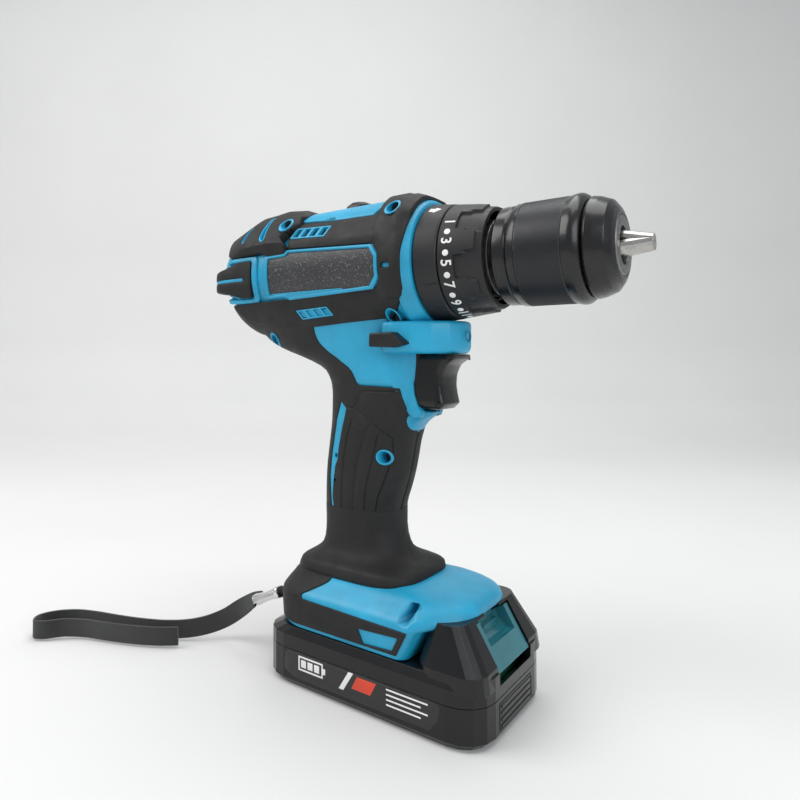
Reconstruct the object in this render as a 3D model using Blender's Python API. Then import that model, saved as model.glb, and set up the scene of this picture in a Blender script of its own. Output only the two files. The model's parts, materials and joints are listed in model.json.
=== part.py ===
"""Cordless hammer drill: housing, motor, planetary gearbox, keyless chuck, battery pack and wrist strap.

All lengths are in millimetres and are turned into metres as each mesh is made. +X points to the chuck,
+Y to the left side, +Z up. The battery's foot stands on Z = 0 and is centred on the origin.
"""

import math

import bmesh
import bpy
import numpy as np
from mathutils import Matrix, Vector

MM = 0.001
GAP = 0.3

# Drive line
AXIS_Z = 198.4
BODY_RADIUS = 30.5
BODY_REAR = -103.0
BODY_FRONT = 22.6
BEZEL_RADIUS = 31.4
BEZEL_START = 18.0
BORE_RADIUS = 26.3
GEAR_BORE_RADIUS = 21.3
GEAR_BORE_START = -20.0

# Planetary gears, the same in both stages
GEAR_MODULE = 0.8
SUN_TEETH = 9
PLANET_TEETH = 15
RING_TEETH = 39
PLANET_ORBIT = GEAR_MODULE * (SUN_TEETH + PLANET_TEETH) / 2
STAGE_1 = (-15.3, -6.3)
STAGE_2 = (-2.8, 7.6)
PIN_RADIUS = 1.5

# Chuck
JAW_TIP = 113.0
JAW_APEX = 113.5
JAW_SLOPE = math.radians(13.0)
JAW_RADIUS = 3.2
JAW_LENGTH = 34.0
CHUCK_NOSE = 102.2
NOSE_RADIUS = 11.65

# Handle and base
GRIP_HALF_WIDTH = 16.5
NECK_SHARES = [(136, 1.0), (144, 1.06), (162, 1.34), (170, 1.42)]
SKIN = 2.0
BASE_BOTTOM = 27.6
BASE_HALF_WIDTH = 35.0

# Battery pack
PACK_HALF_LENGTH = 57.5
PACK_HALF_WIDTH = 36.2
PACK_CORNER = 15.0
PACK_SPLIT = 17.0
PACK_DECK = 27.0
CELL_RADIUS = 9.15
CELL_LENGTH = 65.0
CELL_PITCH = 18.6
RAIL_HALF_WIDTH = 21.0

# Colour, roughness, metallic
FINISHES = {
    "housing": ((0.045, 0.31, 0.52), 0.5, 0.0),
    "overmould": ((0.03, 0.03, 0.032), 0.7, 0.0),
    "plate": ((0.06, 0.06, 0.065), 0.4, 0.0),
    "screw": ((0.25, 0.25, 0.26), 0.35, 1.0),
    "motor": ((0.5, 0.5, 0.5), 0.3, 1.0),
    "winding": ((0.5, 0.22, 0.1), 0.4, 1.0),
    "gear": ((0.45, 0.44, 0.42), 0.35, 1.0),
    "nylon": ((0.75, 0.75, 0.72), 0.5, 0.0),
    "collar": ((0.035, 0.035, 0.037), 0.55, 0.0),
    "chuck_sleeve": ((0.02, 0.02, 0.022), 0.25, 0.4),
    "jaw_steel": ((0.6, 0.6, 0.6), 0.25, 1.0),
    "spring": ((0.4, 0.4, 0.4), 0.3, 1.0),
    "trigger": ((0.02, 0.02, 0.022), 0.4, 0.0),
    "lens": ((0.8, 0.85, 0.85), 0.1, 0.0),
    "pack": ((0.015, 0.015, 0.017), 0.25, 0.0),
    "button": ((0.06, 0.32, 0.36), 0.3, 0.0),
    "cell": ((0.1, 0.45, 0.3), 0.4, 0.3),
    "board": ((0.03, 0.2, 0.08), 0.5, 0.0),
    "strap": ((0.02, 0.02, 0.02), 0.8, 0.0),
    "crimp": ((0.75, 0.75, 0.75), 0.3, 1.0),
}


# ---------------------------------------------------------------- mesh helpers


def clear_scene():
    for item in list(bpy.data.objects):
        bpy.data.objects.remove(item, do_unlink=True)


def finish(name):
    """The material of this name, made on first use."""
    if name in bpy.data.materials:
        return bpy.data.materials[name]
    colour, roughness, metallic = FINISHES[name]
    made = bpy.data.materials.new(name)
    made.use_nodes = True
    shader = made.node_tree.nodes["Principled BSDF"]
    shader.inputs["Base Color"].default_value = (*colour, 1.0)
    shader.inputs["Roughness"].default_value = roughness
    shader.inputs["Metallic"].default_value = metallic
    made.diffuse_color = (*colour, 1.0)
    return made


def solid(name, points, faces, slot="nylon"):
    """An object from points in millimetres, with its faces turned outwards."""
    bm = bmesh.new()
    corners = [bm.verts.new(Vector(point) * MM) for point in points]
    for face in faces:
        bm.faces.new([corners[i] for i in face])
    bmesh.ops.recalc_face_normals(bm, faces=bm.faces)
    mesh = bpy.data.meshes.new(name)
    bm.to_mesh(mesh)
    bm.free()
    mesh.materials.append(finish(slot))
    made = bpy.data.objects.new(name, mesh)
    bpy.context.scene.collection.objects.link(made)
    return made


def loft(name, loops, slot="nylon"):
    """Joins closed loops that hold the same number of points, and caps both ends."""
    count = len(loops[0])
    points = [point for loop in loops for point in loop]
    faces = [list(range(count)), list(range(len(points) - count, len(points)))]
    for k in range(len(loops) - 1):
        low = k * count
        for i in range(count):
            j = (i + 1) % count
            faces.append([low + i, low + j, low + count + j, low + count + i])
    return solid(name, points, faces, slot)


def placed(axis, a, b, along):
    """A point of an outline drawn across the named axis."""
    if axis == "X":
        return (along, a, b)
    if axis == "Y":
        return (a, along, b)
    return (a, b, along)


def prism(name, axis, outline, low, high, slot="nylon"):
    """An outline pushed along one axis from low to high."""
    loops = [[placed(axis, a, b, end) for a, b in outline] for end in (low, high)]
    return loft(name, loops, slot)


def box(name, x, y, z, slot="nylon"):
    outline = [(x[0], z[0]), (x[1], z[0]), (x[1], z[1]), (x[0], z[1])]
    return prism(name, "Y", outline, y[0], y[1], slot)


def circle(radius, count, centre=(0.0, 0.0), phase=0.0):
    turns = [phase + 2 * math.pi * i / count for i in range(count)]
    return [(centre[0] + radius * math.cos(t), centre[1] + radius * math.sin(t)) for t in turns]


def turned(name, profile, slot="nylon", segments=24):
    """Turns a profile of (x, radius) points about the drive line. A zero radius closes an end."""
    points = []
    rings = []
    for x, radius in profile:
        start = len(points)
        if radius == 0:
            points.append((x, 0.0, AXIS_Z))
            rings.append([start] * segments)
        else:
            points += [(x, y, z) for y, z in circle(radius, segments, (0.0, AXIS_Z))]
            rings.append(list(range(start, start + segments)))
    pairs = list(zip(rings, rings[1:]))
    if profile[0][1] and profile[-1][1]:
        pairs.append((rings[-1], rings[0]))
    faces = []
    for first, second in pairs:
        for i in range(segments):
            j = (i + 1) % segments
            face = [first[i], first[j], second[j], second[i]]
            face = list(dict.fromkeys(face))
            if len(face) > 2:
                faces.append(face)
    return solid(name, points, faces, slot)


def rod(name, start, end, radius, slot="nylon", segments=12):
    """A round bar between two points."""
    start = Vector(start)
    end = Vector(end)
    turn = (end - start).to_track_quat("Z", "Y").to_matrix()
    loops = []
    for centre in (start, end):
        loops.append([tuple(centre + turn @ Vector((a, b, 0))) for a, b in circle(radius, segments)])
    return loft(name, loops, slot)


def inset(outline, distance):
    """The outline moved inwards by a distance, corner by corner; outlines run anticlockwise."""
    moved = []
    count = len(outline)
    for i in range(count):
        before = Vector(outline[i - 1])
        here = Vector(outline[i])
        after = Vector(outline[(i + 1) % count])
        first = (here - before).normalized()
        second = (after - here).normalized()
        normal_1 = Vector((-first.y, first.x))
        normal_2 = Vector((-second.y, second.x))
        middle = (normal_1 + normal_2).normalized()
        reach = distance / max(middle.dot(normal_1), 0.5)
        moved.append(tuple(here + middle * reach))
    return moved


def cushion(name, outline, half_width, corner, slot="nylon"):
    """A side view given a width, its edges rounded by a corner radius on both sides."""
    steps = 3
    profile = []
    for k in range(steps + 1):
        turn = math.pi / 2 * k / steps
        profile.append((corner * (1 - math.cos(turn)), half_width - corner * (1 - math.sin(turn))))
    loops = []
    for side in (-1, 1):
        for depth, y in profile[::side]:
            loop = inset(outline, depth)
            loops.append([(x, side * y, z) for x, z in loop])
    return loft(name, loops, slot)


def spread(made, shares):
    """Scales the width by height. The share changes evenly from each listed height to the next."""
    heights = [height for height, _ in shares]
    bm = bmesh.new()
    bm.from_mesh(made.data)
    for height in heights:
        geometry = bm.verts[:] + bm.edges[:] + bm.faces[:]
        bmesh.ops.bisect_plane(bm, geom=geometry, plane_co=(0, 0, height * MM), plane_no=(0, 0, 1))
    for vert in bm.verts:
        vert.co.y *= float(np.interp(vert.co.z / MM, heights, [share for _, share in shares]))
    bm.to_mesh(made.data)
    bm.free()
    return made


def combine(base, others, operation, solver="EXACT"):
    """Applies a Boolean with each of the other objects, which are then removed."""
    for other in others:
        step = base.modifiers.new("cut", "BOOLEAN")
        step.operation = operation
        step.solver = solver
        step.object = other
        bpy.context.view_layer.update()
        graph = bpy.context.evaluated_depsgraph_get()
        mesh = bpy.data.meshes.new_from_object(base.evaluated_get(graph))
        base.modifiers.clear()
        base.data = mesh
        bpy.data.objects.remove(other, do_unlink=True)
    return base


def cut(base, *others, solver="EXACT"):
    return combine(base, others, "DIFFERENCE", solver)


def fuse(base, *others, solver="EXACT"):
    return combine(base, others, "UNION", solver)


def keep_inside(base, *others, solver="EXACT"):
    return combine(base, others, "INTERSECT", solver)


def copied(source, name):
    made = source.copy()
    made.data = source.data.copy()
    made.name = name
    bpy.context.scene.collection.objects.link(made)
    return made


def split_sides(whole, name, solver="EXACT"):
    """Splits a piece at the middle plane into its right and left halves."""
    far = 200.0
    left = copied(whole, name + "_left")
    whole.name = name + "_right"
    keep_inside(whole, box("half", (-far, far), (-far, -GAP / 2), (-far, 2 * far)), solver=solver)
    keep_inside(left, box("half", (-far, far), (GAP / 2, far), (-far, 2 * far)), solver=solver)
    return whole, left


def coil(name, centre, axis, radius, wire, length, turns, slot="spring"):
    """A compression spring as one swept tube."""
    per_turn = 8 if radius < 10 else 14
    sides = 4
    count = int(turns * per_turn)
    turn_matrix = Vector(axis).to_track_quat("Z", "Y").to_matrix()
    loops = []
    for k in range(count + 1):
        angle = 2 * math.pi * k / per_turn
        along = length * k / count
        out = Vector((math.cos(angle), math.sin(angle), 0))
        up = Vector((0, 0, 1))
        ring = []
        for a, b in circle(wire, sides):
            ring.append(tuple(Vector(centre) + turn_matrix @ (out * (radius + a) + up * (along + b))))
        loops.append(ring)
    return loft(name, loops, slot)


# ---------------------------------------------------------------- outlines


def grip_outline(extra=0.0):
    """Side view of the neck and handle, anticlockwise, from inside the base to inside the body."""
    rear = [(-38.4, 44), (-38.5, 60), (-38.8, 72), (-40.2, 84), (-39.8, 98), (-38.2, 112), (-36.5, 124),
            (-36.2, 133), (-38, 142), (-42, 150), (-50, 156), (-60, 160), (-71, 165), (-82, 173),
            (-92, 182), (-92, 212)]
    front = [(18, 212), (20, 160), (17, 148), (14, 138), (12, 122), (9.5, 114), (7.2, 103), (4, 93),
             (1.4, 85), (0.9, 77), (1.4, 70), (2.4, 60), (2.6, 44)]
    return inset((rear + front)[::-1], -extra)


def grip_cushion(name, depth, slot="nylon"):
    """The neck and handle at this depth under their outer surface, wider where they meet the body."""
    outline = inset(grip_outline(), depth)
    return spread(cushion(name, outline, GRIP_HALF_WIDTH - depth, 10.0, slot), NECK_SHARES)


def rounded_plan(front, rear, half_width, corner, steps=4):
    """Plan view of a box with round corners, anticlockwise."""
    points = []
    centres = [(front - corner, half_width - corner), (rear + corner, half_width - corner),
               (rear + corner, -half_width + corner), (front - corner, -half_width + corner)]
    for quarter, (x, y) in enumerate(centres):
        for k in range(steps + 1):
            turn = math.pi / 2 * (quarter + k / steps)
            points.append((x + corner * math.cos(turn), y + corner * math.sin(turn)))
    return points


def stacked(name, levels, slot="nylon"):
    """A loft through plan outlines: each level is (z, front, rear, half width, corner)."""
    loops = []
    for z, front, rear, half_width, corner in levels:
        loops.append([(x, y, z) for x, y in rounded_plan(front, rear, half_width, corner)])
    return loft(name, loops, slot)


def gear_outline(teeth, phase=0.0, internal=False):
    """Teeth with straight flanks and a generous backlash. The first tooth points along the phase."""
    pitch = GEAR_MODULE * teeth / 2
    tooth = 2 * math.pi / teeth
    tip, root = (pitch + 0.75 * GEAR_MODULE, pitch - 1.1 * GEAR_MODULE)
    narrow, wide = 0.11, 0.2
    if internal:
        tip, root = (pitch + 1.1 * GEAR_MODULE, pitch - 0.7 * GEAR_MODULE)
        narrow, wide = 0.27, 0.39
    points = []
    for k in range(teeth):
        middle = phase + k * tooth
        for share, radius in ((-wide, root), (-narrow, tip), (narrow, tip), (wide, root)):
            turn = middle + share * tooth
            points.append((radius * math.cos(turn), AXIS_Z + radius * math.sin(turn)))
    return points


# ---------------------------------------------------------------- housing


SCREWS = {
    "front_upper": (12.5, 222.0, -17.5),
    "rear_upper": (-49.5, 221.8, -17.5),
    "front_lower": (11.0, 173.4, -17.0),
    "rear_lower": (-63.0, 167.5, -12.0),
    "grip": (1.2, 108.4, -9.0),
}
SCREW_REACH = 8.0
HEAD_DEPTH = 2.4


def body_profile(extra=0.0, front=None):
    """Outside of the motor housing as (x, radius)."""
    radius = BODY_RADIUS + extra
    if front is None:
        front = [(BODY_FRONT, radius)]
    return [(BODY_REAR - extra, 0.0), (BODY_REAR - extra, 13.0), (-101.5 - extra, 21.0),
            (-97.5, 26.5 + extra), (-91.0, 29.5 + extra), (-84.0, radius), *front, (BODY_FRONT, 0.0)]


def body_bore():
    """Room for the motor, held by two ribs, and for the gearbox."""
    rib = 18.7
    profile = [(-98.5, 0.0), (-98.5, 19.0), (-93.0, BORE_RADIUS), (-77.0, BORE_RADIUS), (-77.0, rib),
               (-73.0, rib), (-73.0, BORE_RADIUS), (-31.0, BORE_RADIUS), (-31.0, rib), (-27.0, rib),
               (-27.0, BORE_RADIUS), (GEAR_BORE_START, BORE_RADIUS), (GEAR_BORE_START, GEAR_BORE_RADIUS),
               (BODY_FRONT + 5, GEAR_BORE_RADIUS), (BODY_FRONT + 5, 0.0)]
    return turned("bore", profile)


def base_solid(extra=0.0):
    """The foot of the handle, with its sloping top."""
    levels = [(BASE_BOTTOM, 26 + extra, -55 - extra, BASE_HALF_WIDTH - 1.5 + extra, 13),
              (40, 31 + extra, -56 - extra, BASE_HALF_WIDTH + extra, 13),
              (46, 46 + extra, -54 - extra, 33 + extra, 13),
              (53, 45 + extra, -50 - extra, 27 + extra, 12),
              (58 + extra, 30 + extra, -45 - extra, 20 + extra, 10)]
    return stacked("base", levels)


def nose_solid():
    """The lamp nose under the collar."""
    side = [(10, 20), (18, 18.5), (26, 14.5), (33, 9.5), (36.2, 4)]
    plan = [(x, -y) for x, y in side] + side[::-1]
    return prism("nose", "Z", plan, 157.0, 170.4)


def trigger_guard():
    """The lip that stands out below the trigger."""
    outline = [(6, 122), (13, 124), (20, 127.6), (19.5, 130), (6, 130)]
    return prism("lip", "Y", outline, -9.6, 9.6)


def housing_room():
    """Everything cut out of the housing, apart from the screw holes."""
    cavity = inset(grip_outline(), 5.2)
    handle = [(x, z) for x, z in cavity if z < 176]
    base_room = box("cut", (-48, 33), (-29, 29), (38.5, 50))
    rail_slot = box("cut", (-45, 60), (-18.7, 18.7), (20, 39))
    rail_wide = box("cut", (-45, 60), (-RAIL_HALF_WIDTH - 0.6, RAIL_HALF_WIDTH + 0.6), (31.2, 39))
    latch_pocket = box("cut", (36, 45), (-8, 8), (40, 50.5))
    pack_nose_room = box("cut", (26.4, 70), (-50, 50), (20, 45.9))
    trigger_slot = box("cut", (-3, 60), (-9.9, 9.9), (130.4, 157.2))
    selector_slot = box("cut", (-1.5, 19.8), (-50, 50), (158.6, 167.4))
    knob_slot = box("cut", (-26, -8), (-5, 5), (215, 240))
    lamp_hole = rod("cut", (29.5, 0, 164.5), (50, 0, 164.5), 2.6)
    return [body_bore(), prism("cut", "Y", handle, -12.5, 12.5), base_room, rail_slot, rail_wide,
            latch_pocket, pack_nose_room, trigger_slot, selector_slot, knob_slot, lamp_hole]


def plate_recesses():
    cuts = []
    for side in (-1, 1):
        y = sorted((side * 28.0, side * 50.0))
        cuts.append(box("cut", (-62, 8), y, (183.6, 206.4)))
    return cuts


def screw_holes():
    cuts = []
    for x, z, head in SCREWS.values():
        seat = head + HEAD_DEPTH + GAP
        cuts.append(rod("cut", (x, -45, z), (x, seat, z), 3.4, segments=12))
        cuts.append(rod("cut", (x, seat - 1, z), (x, SCREW_REACH + 1, z), 1.65, segments=8))
    return cuts


def screw_bosses():
    """Columns inside the handle and the motor room that the screws run in."""
    made = []
    for name, radius, reach in (("rear_upper", 2.6, 13.0), ("grip", 3.4, 9.0)):
        x, z, _ = SCREWS[name]
        made.append(rod("boss", (x, -reach, z), (x, reach, z), radius, segments=10))
    return made


def make_housing():
    """The whole housing, cut out and then split. The exact solver leaves open edges in it."""
    bezel = [(BEZEL_START, BODY_RADIUS), (BEZEL_START, BEZEL_RADIUS), (BODY_FRONT, BEZEL_RADIUS)]
    shell = turned("housing", body_profile(0.0, bezel), "housing")
    fuse(shell, grip_cushion("handle", SKIN), base_solid(), nose_solid(), trigger_guard(), solver="MANIFOLD")
    cut(shell, *housing_room(), solver="MANIFOLD")
    fuse(shell, *screw_bosses(), solver="MANIFOLD")
    cut(shell, *plate_recesses(), *screw_holes(), solver="MANIFOLD")
    split_sides(shell, "housing", "MANIFOLD")


def housing_envelope():
    """The housing's outside with the gap that the rubber keeps to it."""
    made = grip_cushion("envelope", SKIN - GAP)
    return fuse(made, turned("envelope", body_profile(GAP)), base_solid(GAP), solver="MANIFOLD")


def make_grip_rubber():
    """Soft skin over the handle, the rear of the neck and the rear of the base."""
    skin = grip_cushion("grip_rubber", 0.0, "overmould")
    skirt_levels = [(28.5, -20, -57, 36.4, 14), (41, -20, -58, 36.4, 14), (50, 8, -55, 32, 13),
                    (57, 26, -48, 23, 10), (63, 22, -43, 19, 9)]
    fuse(skin, stacked("skirt", skirt_levels), solver="MANIFOLD")
    cut(skin, housing_envelope(), solver="MANIFOLD")
    panel = [(-34, 171), (-10, 141.5), (13, 141), (19, 128), (60, 128), (60, 200), (-34, 200)]
    above = [(-200, 181.5), (-200, 260), (200, 260), (200, 171), (-30, 171), (-48, 181.5)]
    away = [prism("cut", "Y", panel, -50, 50), prism("cut", "Y", above, -50, 50), band_room()]
    away += [ring_sector("cut", [(-46.3, 33), (18, 33)], turn, turn + 38, 25) for turn in (104, 218)]
    away += [box("cut", (-100, 100), (-60, 60), (-10, 28.4)), box("cut", (-3, 60), (-9.9, 9.9), (122, 157.2))]
    holes = [SCREWS["rear_lower"], SCREWS["grip"]]
    away += [rod("cut", (x, -60, z), (x, 0, z), 3.5) for x, z, _ in holes]
    cut(skin, *away, solver="MANIFOLD")
    split_sides(skin, "grip_rubber", "MANIFOLD")


def band_room():
    return prism("cut", "Y", band_outline(GAP), -60, 60)


def band_outline(extra=0.0):
    outline = [(-44.5, 29.5), (19.5, 29.5), (25.5, 40.8), (-44.5, 40.8)]
    return inset(outline, -extra)


def make_base_bands():
    """The black inlay along each side of the base."""
    band = keep_inside(prism("base_band", "Y", band_outline(), -60, 60, "overmould"),
                       stacked("limit", [(28, 60, -80, 36.5, 3), (42, 60, -80, 36.5, 3)]))
    cut(band, base_solid(GAP))
    room = box("cut", (-80, 80), (-34, 34), (20, 45))
    cut(band, room)
    right = copied(band, "base_band_right")
    band.name = "base_band_left"
    keep_inside(right, box("half", (-200, 200), (-200, 0), (-200, 400)))
    keep_inside(band, box("half", (-200, 200), (0, 200), (-200, 400)))


def ring_sector(name, x_radius, start, end, inner, slot="overmould", steps=5):
    """Part of a turned shell between two angles, measured from straight up towards the right side."""
    loops = []
    for k in range(steps + 1):
        turn = math.radians(start + (end - start) * k / steps)
        loop = []
        for x, radius in x_radius + [(x, inner) for x, _ in x_radius[::-1]]:
            loop.append((x, -radius * math.sin(turn), AXIS_Z + radius * math.cos(turn)))
        loops.append(loop)
    return loft(name, loops, slot)


def mirrored(source, name):
    """The same piece on the left side."""
    made = copied(source, name)
    made.data.transform(Matrix.Diagonal((1, -1, 1, 1)))
    made.data.flip_normals()
    return made


def make_pads():
    """The hard-wearing pads above and below each side plate, with the high rear armour."""
    inner = BODY_RADIUS + GAP
    upper = ring_sector("upper_pad_right", [(-97, 30.9), (-94, 33.5), (-84, 35.3), (-62, 36.8),
                                            (-51, 36.5), (-43, 32.4), (2, 32.2), (5, 34), (15, 34),
                                            (17.6, 32.2)], 28, 74, inner)
    crown = ring_sector("crown", [(-97, 30.9), (-94, 33.5), (-84, 35.3), (-62, 36.8), (-51, 36.5),
                                  (-43, 32.4)], 2, 32, inner)
    hump = ring_sector("hump", [(2, 32.2), (5, 34), (15, 34), (17.6, 32.2)], 2, 32, inner)
    fuse(upper, crown, hump)
    screw_names = ("front_upper", "rear_upper")
    cut(upper, *[rod("cut", (SCREWS[n][0], -60, SCREWS[n][1]), (SCREWS[n][0], 0, SCREWS[n][1]), 3.6)
                 for n in screw_names])
    mirrored(upper, "upper_pad_left")
    lower = ring_sector("lower_pad_right", [(-46, 32.2), (17.6, 32.2)], 119, 140, inner)
    x, z, _ = SCREWS["front_lower"]
    cut(lower, rod("cut", (x, -60, z), (x, 0, z), 3.6), clear_of_handle())
    mirrored(lower, "lower_pad_left")


def clear_of_handle():
    return grip_cushion("cut", -GAP)


def make_side_plates():
    outline = [(-61.5, 186.6), (-47, 186.6), (-44, 184), (4.6, 185), (7.5, 189), (7.5, 201.2),
               (4.4, 206), (-45.5, 206), (-48, 205.6), (-61.5, 205.6)]
    prism("side_plate_right", "Y", outline, -30.9, -28.3, "plate")
    prism("side_plate_left", "Y", outline, 28.3, 30.9, "plate")


def bumper_plan(front, rear, half_width, corner):
    """Plan view of the rear block: only its two rear corners are round."""
    steps = 5
    points = [(front, half_width)]
    for side in (1, -1):
        for k in range(steps + 1):
            turn = math.pi / 2 * (k if side == 1 else steps - k) / steps
            points.append((rear + corner - corner * math.sin(turn),
                           side * (half_width - corner + corner * math.cos(turn))))
    points.append((front, -half_width))
    return points


def make_rear_bumper():
    """The block that wraps round the rear end at the height of the drive line."""
    loops = []
    for z, front, rear, half_width in ((186.2, -76, -103.9, 30.4), (188.6, -74, -105.5, 32.2),
                                       (204.0, -74, -105.5, 32.2), (206.4, -76, -103.9, 30.4)):
        loops.append([(x, y, z) for x, y in bumper_plan(front, rear, half_width, 17)])
    bumper = loft("rear_bumper", loops, "overmould")
    room = box("cut", (-92, 0), (-29, 29), (180, 220))
    cut(bumper, turned("cut", body_profile(GAP)), room, solver="MANIFOLD")


def make_screws():
    for name, (x, z, head) in SCREWS.items():
        screw = rod("screw_" + name, (x, head, z), (x, head + HEAD_DEPTH, z), 2.9, "screw", 12)
        fuse(screw, rod("shank", (x, head + 1, z), (x, SCREW_REACH, z), 1.3, segments=8))
        cut(screw, box("slot", (x - 0.4, x + 0.4), (head - 1, head + 1.2), (z - 2, z + 2)))


def make_lamp():
    rod("lamp_lens", (30, 0, 164.5), (35.6, 0, 164.5), 2.2, "lens", 14)


# ---------------------------------------------------------------- motor and gearbox


def make_motor():
    turned("motor_can", [(-79, 5), (-79, 18.3), (-26, 18.3), (-26, 5), (-28, 5), (-28, 16.3),
                         (-77, 16.3), (-77, 5)], "motor", 24)
    turned("rotor_core", [(-70, 1.9), (-70, 14.8), (-36, 14.8), (-36, 1.9)], "winding", 24)
    shaft = rod("motor_shaft", (-83, 0, AXIS_Z), (-6.6, 0, AXIS_Z), 1.55, "gear", 12)
    fuse(shaft, turned_gear("pinion", SUN_TEETH, 0.0, STAGE_1[0] - 0.5, STAGE_1[1]))


def turned_gear(name, teeth, phase, low, high, slot="gear"):
    return prism(name, "X", gear_outline(teeth, phase), low, high, slot)


def orbit_point(k):
    turn = 2 * math.pi * k / 3
    return PLANET_ORBIT * math.cos(turn), PLANET_ORBIT * math.sin(turn), turn


def make_planets(stage, span):
    for k, letter in enumerate("abc"):
        y, z, turn = orbit_point(k)
        gear = turned_gear("planet_%d%s" % (stage, letter), PLANET_TEETH, turn, span[0], span[1])
        cut(gear, rod("bore", (span[0] - 5, 0, AXIS_Z), (span[1] + 5, 0, AXIS_Z), 1.8, segments=10))
        gear.data.transform(Matrix.Translation(Vector((0, y, z)) * MM))


def carrier_pins(low, high):
    pins = []
    for k in range(3):
        y, z, _ = orbit_point(k)
        pins.append(rod("pin", (low, y, AXIS_Z + z), (high, y, AXIS_Z + z), PIN_RADIUS, segments=10))
    return pins


def make_carriers():
    """The first stage's carrier bears the second stage's sun; the second one ends in the spindle."""
    plate_end = STAGE_2[0] - 0.8
    first = rod("stage_one_carrier", (STAGE_1[1] + 0.5, 0, AXIS_Z), (plate_end, 0, AXIS_Z), 12.6, "gear", 30)
    sun = turned_gear("sun", SUN_TEETH, 0.0, plate_end - 0.5, STAGE_2[1] + 0.3)
    fuse(first, *carrier_pins(STAGE_1[0] + 0.3, plate_end - 0.5), sun)
    spindle = turned("spindle", [(STAGE_2[1] + 0.8, 0), (STAGE_2[1] + 0.8, 13), (12.5, 13), (12.5, 7.5),
                                 (18, 7.5), (18, 5), (69, 5), (69, 0)], "gear", 24)
    fuse(spindle, *carrier_pins(STAGE_2[0] + 0.3, STAGE_2[1] + 2))


def make_ring_gear():
    ring = rod("ring_gear", (-16.2, 0, AXIS_Z), (8.0, 0, AXIS_Z), 19.2, "gear", 40)
    cut(ring, prism("teeth", "X", gear_outline(RING_TEETH, 0.0, True)[::-1], -30, 30))


def make_gear_case():
    turned("gear_case", [(-19.7, 19.5), (-19.7, 21.0), (22.4, 21.0), (22.4, 17.0), (53.0, 17.0),
                         (53.0, 11.0), (19.0, 11.0), (19.0, 19.5)], "motor", 24)
    turned("front_bearing", [(44.0, 5.3), (44.0, 10.7), (52.0, 10.7), (52.0, 5.3)], "gear", 24)
    coil("clutch_spring", (24.6, 0, AXIS_Z), (1, 0, 0), 18.7, 0.8, 26.0, 4)


# ---------------------------------------------------------------- collar and chuck


def make_collars():
    turned("mode_ring", [(23.1, 20.2), (23.1, 27.3), (28, 27.0), (34.0, 25.9), (34.0, 20.2)], "collar", 28)
    torque = turned("torque_ring", [(34.4, 20.2), (34.4, 25.6), (36, 25.6), (39.5, 25.1), (51.5, 23.8),
                                    (52.9, 23.2), (52.9, 20.2)], "collar", 28)
    lugs = []
    for k in range(6):
        turn = math.radians(30 + 60 * k)
        lug = ring_sector("lug", [(40, 25.2), (41, 25.9), (50.5, 24.9), (51.5, 23.9)],
                          math.degrees(turn) - 14, math.degrees(turn) + 14, 22.0, steps=3)
        lugs.append(lug)
    fuse(torque, *lugs)


def jaw_direction(k):
    """Unit vector from a jaw's rear end to its tip, and the way its rear leans out."""
    turn = math.pi / 2 + 2 * math.pi * k / 3
    out = Vector((0, math.cos(turn), math.sin(turn)))
    forward = Vector((math.cos(JAW_SLOPE), 0, 0)) - out * math.sin(JAW_SLOPE)
    return forward, out, turn


def jaw_bar(k, back, ahead, radius, name="bar", slot="jaw_steel", segments=12):
    forward, _, _ = jaw_direction(k)
    apex = Vector((JAW_APEX, 0, AXIS_Z))
    return rod(name, apex - forward * back, apex + forward * ahead, radius, slot, segments)


def make_jaws():
    for k, letter in enumerate("abc"):
        _, out, turn = jaw_direction(k)
        jaw = jaw_bar(k, JAW_LENGTH, 6, JAW_RADIUS, "jaw_" + letter)
        wedge = [(0.2 * out.y, AXIS_Z + 0.2 * out.z)]
        for side in (-1, 1):
            edge = turn + side * math.pi / 3
            wedge.append((wedge[0][0] + 40 * math.cos(edge), wedge[0][1] + 40 * math.sin(edge)))
        keep_inside(jaw, prism("wedge", "X", wedge, 60, JAW_TIP))


def make_chuck():
    core = turned("chuck_core", [(56.2, 5.3), (56.2, 21.2), (62.2, 21.2), (62.2, 17.1), (91.6, 17.1),
                                 (91.6, NOSE_RADIUS), (CHUCK_NOSE, NOSE_RADIUS), (CHUCK_NOSE, 7.4),
                                 (95, 5.3)], "jaw_steel", 28)
    cut(core, *[jaw_bar(k, 55, 6, JAW_RADIUS + GAP, segments=12) for k in range(3)])
    turned("chuck_sleeve", [(62.5, 17.4), (62.5, 21.4), (64, 21.9), (84, 21.9), (87.6, 22.4),
                            (90.2, 21.2), (91.3, 19.9), (91.3, 17.4)], "chuck_sleeve", 28)
    turned("chuck_nose_cap", [(91.9, 12.0), (91.9, 20.2), (95, 19.8), (99.4, 17.8), (101.3, 15.4),
                              (102.0, 12.6), (102.0, 12.0)], "chuck_sleeve", 28)


# ---------------------------------------------------------------- controls


def make_switch():
    switch = box("switch_body", (-29, -5), (-11, 11), (133, 157), "trigger")
    fuse(switch, box("stem", (-6, 3), (-3, 3), (149, 155)))


def make_trigger():
    outline = [(10.4, 131), (26.6, 131.2), (28.6, 133.6), (27.7, 137.5), (27.0, 142), (27.4, 147),
               (29.4, 151.6), (33.8, 154.2), (34.3, 156.6), (10.4, 156.6)]
    cushion("trigger", outline, 9.3, 3.0, slot="trigger")
    coil("trigger_spring", (-4.2, 0, 140), (1, 0, 0), 3.6, 0.45, 13.8, 5)


def make_selector():
    outline = [(0.0, 159.6), (12.5, 159.3), (18.2, 161.0), (12.4, 166.2), (0.2, 166.0)]
    prism("direction_selector", "Y", outline, -25.6, 25.6, "trigger")


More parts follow.
